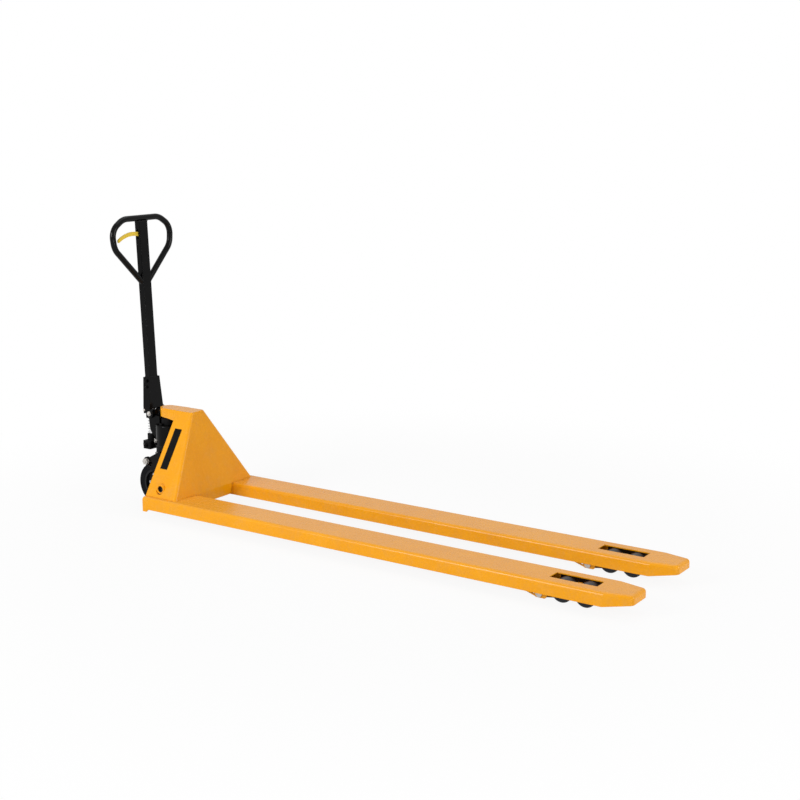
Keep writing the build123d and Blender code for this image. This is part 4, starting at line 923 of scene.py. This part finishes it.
@dataclass
class Pump:
    """Small fittings of the pump, its tank and the steering axle."""

    finishes: Finishes
    tank_radius: float = 0.057
    plug: Nut = Nut(0.013, 0.006, 0.0085)
    plug_circle: float = 0.043
    plug_turn: float = 1.45  # radians either side of straight behind the ram
    wiper_height: float = 0.0025
    wiper_shares: tuple[float, float] = (0.72, 0.56)  # of the gland nut's radius
    wiper_sink: float = 0.0005
    lip: Wire = Wire(0.0186, 0.0014)
    lip_rise: float = 0.0004
    block_rear: float = 0.006  # valve block behind the barrel's rear
    block_side: float = -0.044
    block_level: float = 0.010
    sink: float = 0.0002
    valve_nut: Nut = Nut(0.014, 0.005, 0.0085)
    valve_inset: float = 0.016
    boss_x: float = 0.020
    boss_radius: float = 0.009
    boss_length: float = 0.006
    boss_bevel: float = 0.001
    set_screw: Nut = Nut(0.012, 0.005)
    nipple: Nut = Nut(0.009, 0.004)
    nipple_turn: float = 0.6
    nipple_z: float = 0.165
    nipple_reach: float = 0.0398
    neck_radius: float = 0.0022
    neck_span: tuple[float, float] = (0.004, 0.011)
    ball_radius: float = 0.0031
    ball_span: tuple[float, float] = (0.0105, 0.0135)
    centre: Collar = Collar(0.0085, 0.0032, 0.0011, 0.0003)
    centre_sink: float = 0.0006
    seam_bead: float = 0.0018
    seam_sink: float = 0.0004
    seam_rise: float = 0.001
    centre_x: float = field(init=False)

    def __post_init__(self) -> None:
        """Take the steering axis from the frame."""
        self.centre_x = middle("thrust_ring")[0]

    def build(self) -> None:
        """Make all fittings."""
        self.top_plugs()
        self.wiper()
        self.valve()
        self.grease_nipples()
        self.axle_centres()
        self.tank_seam()

    def top_plugs(self) -> None:
        """Filler and breather plug on the tank's top."""
        forge = Forge()
        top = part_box("gland_nut")[0].z
        for turn in (self.plug_turn, -self.plug_turn):
            back, side = self.plug_circle * math.cos(turn), self.plug_circle * math.sin(turn)
            forge.nut((self.centre_x - back, side, top), (0, 0, 1), self.plug)
        forge.piece("tank_plugs_top", self.finishes["black_casting"], "pump_unit")

    def wiper(self) -> None:
        """Wiper ring with its lip on the gland nut round the ram."""
        forge = Forge()
        low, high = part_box("gland_nut")
        outer, inner = ((high.x - low.x) / 2 * share for share in self.wiper_shares)
        forge.ring((self.centre_x, 0, high.z - self.wiper_sink), (0, 0, 1),
                   Collar(outer, inner, self.wiper_height))
        forge.torus((self.centre_x, 0, high.z + self.lip_rise), (0, 0, 1), self.lip)
        forge.piece("ram_wiper", self.finishes["black_casting"], "pump_unit")

    def valve(self) -> None:
        """Lowering valve and set screw in the valve block beside the plunger barrel."""
        forge = Forge()
        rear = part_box("pump_cylinder")[0].x + self.block_rear
        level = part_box("pump_base")[1].z + self.block_level
        forge.nut((rear + self.sink, self.block_side + self.valve_inset, level), (-1, 0, 0), self.valve_nut)
        x, end = rear + self.boss_x, self.block_side - self.boss_length
        forge.bar((x, self.block_side + self.sink, level), (x, end, level), self.boss_radius,
                  bevel=self.boss_bevel)
        forge.nut((x, end, level), (0, -1, 0), self.set_screw)
        forge.piece("lowering_valve", self.finishes["black_casting"], "pump_unit")

    def grease_nipples(self) -> None:
        """Two grease nipples at the rear of the pump base."""
        forge = Forge()
        for angle in (self.nipple_turn, -self.nipple_turn):
            way = Vector((-math.cos(angle), math.sin(angle), 0.0))
            foot = Vector((self.centre_x, 0, self.nipple_z)) + way * self.nipple_reach
            forge.nut(foot, way, self.nipple)
            for radius, span, bevel in ((self.neck_radius, self.neck_span, 0.0006),
                                        (self.ball_radius, self.ball_span, 0.0008)):
                start, end = (foot + way * reach for reach in span)
                forge.bar(start, end, radius, sides=16, bevel=bevel)
        forge.piece("grease_nipples", self.finishes["zinc_steel"], "pump_unit")

    def axle_centres(self) -> None:
        """Dark rings round the centre marks in the ends of the steering axle."""
        forge = Forge()
        x, _, z = middle("steer_axle")
        forge.ring((x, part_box("steer_axle")[1].y - self.centre_sink, z), (0, 1, 0), self.centre)
        forge.twin()
        forge.piece("axle_centres", self.finishes["dark_steel"], "pump_unit")

    def tank_seam(self) -> None:
        """Seam round the foot of the tank."""
        forge = Forge()
        foot = (self.centre_x, 0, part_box("oil_tank")[0].z + self.seam_rise)
        forge.loop_bead(foot, (0, 0, 1), self.tank_radius - self.seam_sink, self.seam_bead)
        forge.piece("tank_seam", self.finishes["black_weld"], "pump_unit")


@dataclass
class Handle:
    """Weld seams, bolts and pin ends of the handle, made upright and then leant back."""

    finishes: Finishes
    lean: float = 2.3
    pivot_z: float = 0.372
    tube_x: float = 0.013  # tube's middle behind the pivot
    wide: float = 0.0225
    deep: float = 0.014
    bead: float = 0.0022
    cap_seam: float = 0.8055  # heights over the pivot
    socket_seam: float = 0.153
    loop_foot: float = 0.547
    loop_top: float = 0.585
    loop_bead: float = 0.002
    loop_lift: float = 0.0006
    loop_deep: tuple[float, float] = (0.0105, 0.0118)
    pin_end: Nut = Nut(0.013, 0.0045)
    pin_sink: float = 0.0004
    yoke_bolt: Nut = Nut(0.011, 0.005, 0.0075)
    bolt_heights: tuple[float, float] = (0.112, 0.138)
    bolt_half: float = 0.0335
    ear_screw: Nut = Nut(0.009, 0.0035)
    ear_x: float = 0.002
    ear_half: float = 0.0568
    ear_height: float = 0.018
    pivot: Point = field(init=False)
    x: float = field(init=False)

    def __post_init__(self) -> None:
        """Take the pivot from the frame."""
        x, _, z = middle("handle_pin")
        self.pivot = (x, 0.0, z)
        self.x = x - self.tube_x

    def build(self) -> None:
        """Make all details."""
        self.seams()
        self.pin_ends()
        self.yoke_bolts()
        self.ear_screws()

    def straight(self, forge: Forge) -> None:
        """Lean a shape that was made upright.

        Args:
            forge: The shape.
        """
        forge.turn(-self.lean, self.pivot, (0, 1, 0))

    def seams(self) -> None:
        """Seams between tube, loop and yoke."""
        forge = Forge()
        corners = ((1, -1), (1, 1), (-1, 1), (-1, -1), (1, -1))
        for height in (self.cap_seam, self.socket_seam):
            forge.bead([(self.x + back * self.deep, side * self.wide, self.pivot_z + height)
                        for back, side in corners], self.bead)
        foot, top = self.pivot_z + self.loop_foot, self.pivot_z + self.loop_top
        deep_foot, deep_top = self.loop_deep
        for side in (-1, 1):
            y = side * (self.wide + self.loop_lift)
            for way in (-1, 1):
                forge.bead([(self.x + way * deep_foot, y, foot), (self.x + way * deep_top, y, top)],
                           self.loop_bead)
        self.straight(forge)
        forge.piece("handle_seams", self.finishes["black_weld"], "handle")

    def pin_ends(self) -> None:
        """Hexagon ends of the handle pin."""
        forge = Forge()
        x, _, z = self.pivot
        forge.nut((x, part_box("handle_pin")[1].y - self.pin_sink, z), (0, 1, 0), self.pin_end)
        forge.twin()
        forge.piece("handle_pin_ends", self.finishes["zinc_steel"], "pump_unit")

    def yoke_bolts(self) -> None:
        """Bolts that hold the tube in the yoke's socket."""
        forge = Forge()
        for height in self.bolt_heights:
            for side in (-1, 1):
                place = (self.x, side * self.bolt_half, self.pivot_z + height)
                forge.nut(place, (0, side, 0), self.yoke_bolt)
        self.straight(forge)
        forge.piece("yoke_bolts", self.finishes["black_enamel"], "handle")

    def ear_screws(self) -> None:
        """Screws beside the yoke's ears."""
        forge = Forge()
        place = (self.x + self.ear_x, self.ear_half, self.pivot_z + self.ear_height)
        forge.nut(place, (0, 1, 0), self.ear_screw)
        forge.twin()
        self.straight(forge)
        forge.piece("ear_screws", self.finishes["zinc_steel"], "handle")


@dataclass
class Wheels:
    """Details of one side's steering wheel and load rollers."""

    finishes: Finishes
    side: Side
    seal: Collar = Collar(0.0185, 0.0125, 0.0012)
    seal_sink: float = 0.0008
    mould_lines: tuple[Wire, ...] = (Wire(0.078, 0.0010, 64, 8), Wire(0.0665, 0.0008, 64, 8))
    line_sink: float = 0.0004
    hub_bolt: Nut = Nut(0.008, 0.004, 0.0065)
    hub_bolts: int = 6
    bolt_circle: float = 0.041
    bolt_sink: float = 0.0152
    roller_seal: Collar = Collar(0.0206, 0.0144, 0.0016)
    roller_sink: float = 0.003

    def build(self) -> None:
        """Make the details of this side."""
        self.bearing_seals()
        self.tyre_lines()
        self.wheel_bolts()
        for place in ("rear", "front"):
            self.roller_seals(place)

    def bearing_seals(self) -> None:
        """Seals of the wheel's bearings."""
        word = self.side.word
        tyre = f"wheel_tyre_{word}"
        x, _, z = middle(tyre)
        forge = Forge()
        for y, way in faces(tyre):
            forge.ring((x, y - way * self.seal_sink, z), (0, way, 0), self.seal)
        forge.piece(f"bearing_seals_{word}", self.finishes["black_casting"], f"wheel_{word}")

    def tyre_lines(self) -> None:
        """Mould lines on both faces of the tyre."""
        word = self.side.word
        tyre = f"wheel_tyre_{word}"
        x, _, z = middle(tyre)
        forge = Forge()
        for y, way in faces(tyre):
            for line in self.mould_lines:
                forge.torus((x, y - way * self.line_sink, z), (0, 1, 0), line)
        forge.piece(f"tyre_lines_{word}", self.finishes["wheel_rubber"], f"wheel_{word}")

    def wheel_bolts(self) -> None:
        """Ring of bolts on both faces of the wheel's hub."""
        word = self.side.word
        tyre = f"wheel_tyre_{word}"
        x, _, z = middle(tyre)
        forge = Forge()
        for index in range(self.hub_bolts):
            angle = 2 * math.pi / self.hub_bolts * index
            across, up = self.bolt_circle * math.cos(angle), self.bolt_circle * math.sin(angle)
            for y, way in faces(tyre):
                forge.nut((x + across, y - way * self.bolt_sink, z + up), (0, way, 0), self.hub_bolt)
        forge.piece(f"hub_bolts_{word}", self.finishes["zinc_steel"], f"wheel_{word}")

    def roller_seals(self, place: str) -> None:
        """Seals of a load roller's bearings.

        Args:
            place: Which roller of the bogie, rear or front.
        """
        name = f"{place}_{self.side.word}"
        x, _, z = middle(f"roller_tyre_{name}")
        forge = Forge()
        for y, way in faces(f"roller_tyre_{name}"):
            forge.ring((x, y - way * self.roller_sink, z), (0, way, 0), self.roller_seal)
        forge.piece(f"roller_seals_{name}", self.finishes["black_casting"], f"roller_{name}")


@dataclass
class Linkage:
    """Ends of the thrust collar's bolts."""

    finishes: Finishes
    end_radius: float = 0.0046
    end_span: tuple[float, float] = (-0.0005, 0.0012)
    end_bevel: float = 0.0005
    circlip: Wire = Wire(0.0074, 0.0009, 32, 8)
    circlip_sink: float = 0.004

    def build(self) -> None:
        """Make the rounded bolt ends and the rings round them."""
        x, _, z = middle("collar_bolts")
        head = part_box("collar_bolts")[1].y
        start, end = ((x, head + reach, z) for reach in self.end_span)
        forge = Forge()
        forge.bar(start, end, self.end_radius, sides=24, bevel=self.end_bevel)
        forge.torus((x, head - self.circlip_sink, z), (0, 1, 0), self.circlip)
        forge.twin()
        forge.piece("bolt_ends", self.finishes["zinc_steel"], "carriage")


class Dresser:
    """Gives each CAD node its finish."""

    RULES: tuple[tuple[str, str], ...] = (
        ("head_", "yellow_enamel"), ("fork_", "yellow_enamel"), ("tie_tube", "yellow_enamel"),
        # roller frames take the painted-shade copy of the yellow enamel
        ("rod_guides", "yellow_enamel"), ("roller_bracket", "yellow_enamel"), ("roller_frame", "bay_enamel"),
        ("bogie", "yellow_enamel"), ("rod_levers", "yellow_enamel"), ("shaft_bushes", "yellow_enamel"),
        ("name_strips", "strip_film"), ("handle_tube", "black_enamel"), ("handle_loop", "grip_enamel"),
        ("handle_yoke", "black_enamel"), ("oil_tank", "black_enamel"), ("rocker_arms", "black_enamel"),
        ("pump_plunger", "hard_chrome"), ("pump_", "black_casting"), ("thrust_collar", "black_casting"),
        ("release_lever", "black_enamel"), ("lift_ram", "hard_chrome"), ("gland_nut", "black_casting"),
        ("push_rod", "dark_steel"), ("rocker_shaft", "dark_steel"), ("roller_tyre", "roller_tread"),
        ("wheel_tyre", "wheel_rubber"), ("wheel_hub", "hub_casting"), ("roller_hub", "dark_steel"),
        ("control_lever", "lever_plastic"), ("plunger_spring", "spring_steel"),
    )
    OTHER: str = "zinc_steel"

    def __init__(self, finishes: Finishes) -> None:
        """Keep the finishes.

        Args:
            finishes: All finishes.
        """
        self.finishes = finishes

    def dress(self, nodes: dict[str, bpy.types.Object]) -> None:
        """Give every node the finish of the first rule that its name starts with.

        Args:
            nodes: CAD nodes by name.
        """
        for name, node in nodes.items():
            finish = next((finish for start, finish in self.RULES if name.startswith(start)), self.OTHER)
            if not node.material_slots:
                node.data.materials.append(self.finishes[finish])
            for slot in node.material_slots:
                slot.material = self.finishes[finish]
            LOG.info("node %s: %s", name, finish)


# ---------------------------------------------------------------- studio
@dataclass(frozen=True)
class Lamp:
    """Square area lamp that faces the truck."""

    name: str
    place: Point
    size: float
    power: float

    def hang(self, target: Point) -> None:
        """Hang the lamp.

        Args:
            target: Point that it faces.
        """
        data = bpy.data.lights.new(self.name, "AREA")
        data.size = self.size
        data.energy = self.power
        made = bpy.data.objects.new(self.name, data)
        made.location = self.place
        made.rotation_euler = (Vector(target) - Vector(self.place)).to_track_quat("-Z", "Y").to_euler()
        bpy.context.scene.collection.objects.link(made)


@dataclass
class Studio:
    """Camera, lamps, floor and background."""

    lens: float = 63.3
    sensor: float = 36.0
    sight: float = 200.0
    camera_place: Point = (2.9737, -4.260, 1.651)
    heading: float = 33.85
    pitch: float = 11.9
    floor_size: float = 60.0
    floor_drop: float = 0.0004
    floor_grey: float = 0.80
    floor_rough: float = 0.9
    shadow_reach: float = 1.0
    white_reach: float = 2.6
    glow: float = 0.91
    ambient: float = 0.42
    mirrored: float = 0.78
    floor_mirrored: float = 0.55
    target: Point = (0.0, 0.0, 0.3)
    hung: tuple[Lamp, ...] = (
        Lamp("key", (-2.2, -5.2, 2.8), 2.2, 200.0),
        Lamp("fill", (5.5, 1.0, 2.6), 2.5, 95.0),
        Lamp("corner", (4.0, -2.7, 0.3), 0.5, 22.0),
        Lamp("top", (0.0, 1.5, 5.5), 4.0, 55.0),
    )

    def build(self) -> None:
        """Set the studio up."""
        self.camera()
        self.world()
        self.floor()
        for lamp in self.hung:
            lamp.hang(self.target)
        bpy.context.scene.view_settings.view_transform = "Standard"

    def camera(self) -> None:
        """Camera at the viewing angle."""
        data = bpy.data.cameras.new("camera")
        data.lens = self.lens
        data.sensor_width = self.sensor
        data.clip_end = self.sight
        made = bpy.data.objects.new("camera", data)
        made.location = self.camera_place
        made.rotation_euler = (math.radians(90 - self.pitch), 0.0, math.radians(self.heading))
        bpy.context.scene.collection.objects.link(made)
        bpy.context.scene.camera = made

    def world(self) -> None:
        """White background, a softer white in reflections and a dim one as light."""
        world = bpy.data.worlds.new("studio")
        world.use_nodes = True
        tree = world.node_tree
        back = next(node for node in tree.nodes if node.type == "BACKGROUND")
        back.inputs["Color"].default_value = (1.0, 1.0, 1.0, 1.0)
        path = tree.nodes.new("ShaderNodeLightPath")
        levels = {"Is Glossy Ray": self.mirrored, "Is Transmission Ray": 1.0, "Is Camera Ray": 1.0}
        strength = None
        for ray, level in levels.items():
            choice = tree.nodes.new("ShaderNodeMapRange")
            tree.links.new(path.outputs[ray], choice.inputs["Value"])
            choice.inputs["To Min"].default_value = self.ambient
            choice.inputs["To Max"].default_value = level
            if strength is not None:
                tree.links.new(strength, choice.inputs["To Min"])
            strength = choice.outputs[0]
        tree.links.new(strength, back.inputs["Strength"])
        bpy.context.scene.world = world

    def pale_floor(self) -> bpy.types.Material:
        """Matt floor that glows white to the camera, less near the truck, where its shadow shows.

        Returns:
            The material.
        """
        ink = Sketch("pale_floor")
        ink.finish({"Base Color": (self.floor_grey,) * 3, "Roughness": self.floor_rough})
        path = ink.tree.nodes.new("ShaderNodeLightPath")
        reach = ink.tree.nodes.new("ShaderNodeVectorMath")
        reach.operation = "LENGTH"
        ink.put(reach.inputs[0], ink.place)
        fade = ink.ramp(reach.outputs["Value"], self.shadow_reach, self.white_reach, out_low=self.glow)
        fade.node.interpolation_type = "SMOOTHSTEP"
        seen = ink.product(path.outputs["Is Camera Ray"], fade)
        mirrored = ink.product(path.outputs["Is Glossy Ray"], self.floor_mirrored)
        blend = ink.tree.nodes.new("ShaderNodeMixShader")
        out = next(node for node in ink.tree.nodes if node.type == "OUTPUT_MATERIAL")
        ink.put(blend.inputs[0], ink.math("ADD", mirrored, seen))
        ink.put(blend.inputs[1], ink.shader.outputs[0])
        ink.put(blend.inputs[2], ink.tree.nodes.new("ShaderNodeEmission").outputs[0])
        ink.put(out.inputs["Surface"], blend.outputs[0])
        return ink.material

    def floor(self) -> None:
        """Plain pale floor that keeps a soft shadow."""
        mesh = bmesh.new()
        bmesh.ops.create_grid(mesh, x_segments=1, y_segments=1, size=self.floor_size / 2)
        bmesh.ops.translate(mesh, vec=(0, 0, -self.floor_drop), verts=mesh.verts)
        data = bpy.data.meshes.new("floor")
        mesh.to_mesh(data)
        mesh.free()
        data.materials.append(self.pale_floor())
        made = bpy.data.objects.new("floor", data)
        bpy.context.scene.collection.objects.link(made)


def main() -> None:
    """Build the truck's looks round the frame."""
    logging.basicConfig(level=logging.INFO, format="%(message)s")
    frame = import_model()
    finishes = Finishes()
    Dresser(finishes).dress(frame["nodes"])
    Chassis(finishes).build()
    Pump(finishes).build()
    Handle(finishes).build()
    for side in Side:
        Wheels(finishes, side).build()
    Linkage(finishes).build()
    Studio().build()


if __name__ == "__main__":
    main()
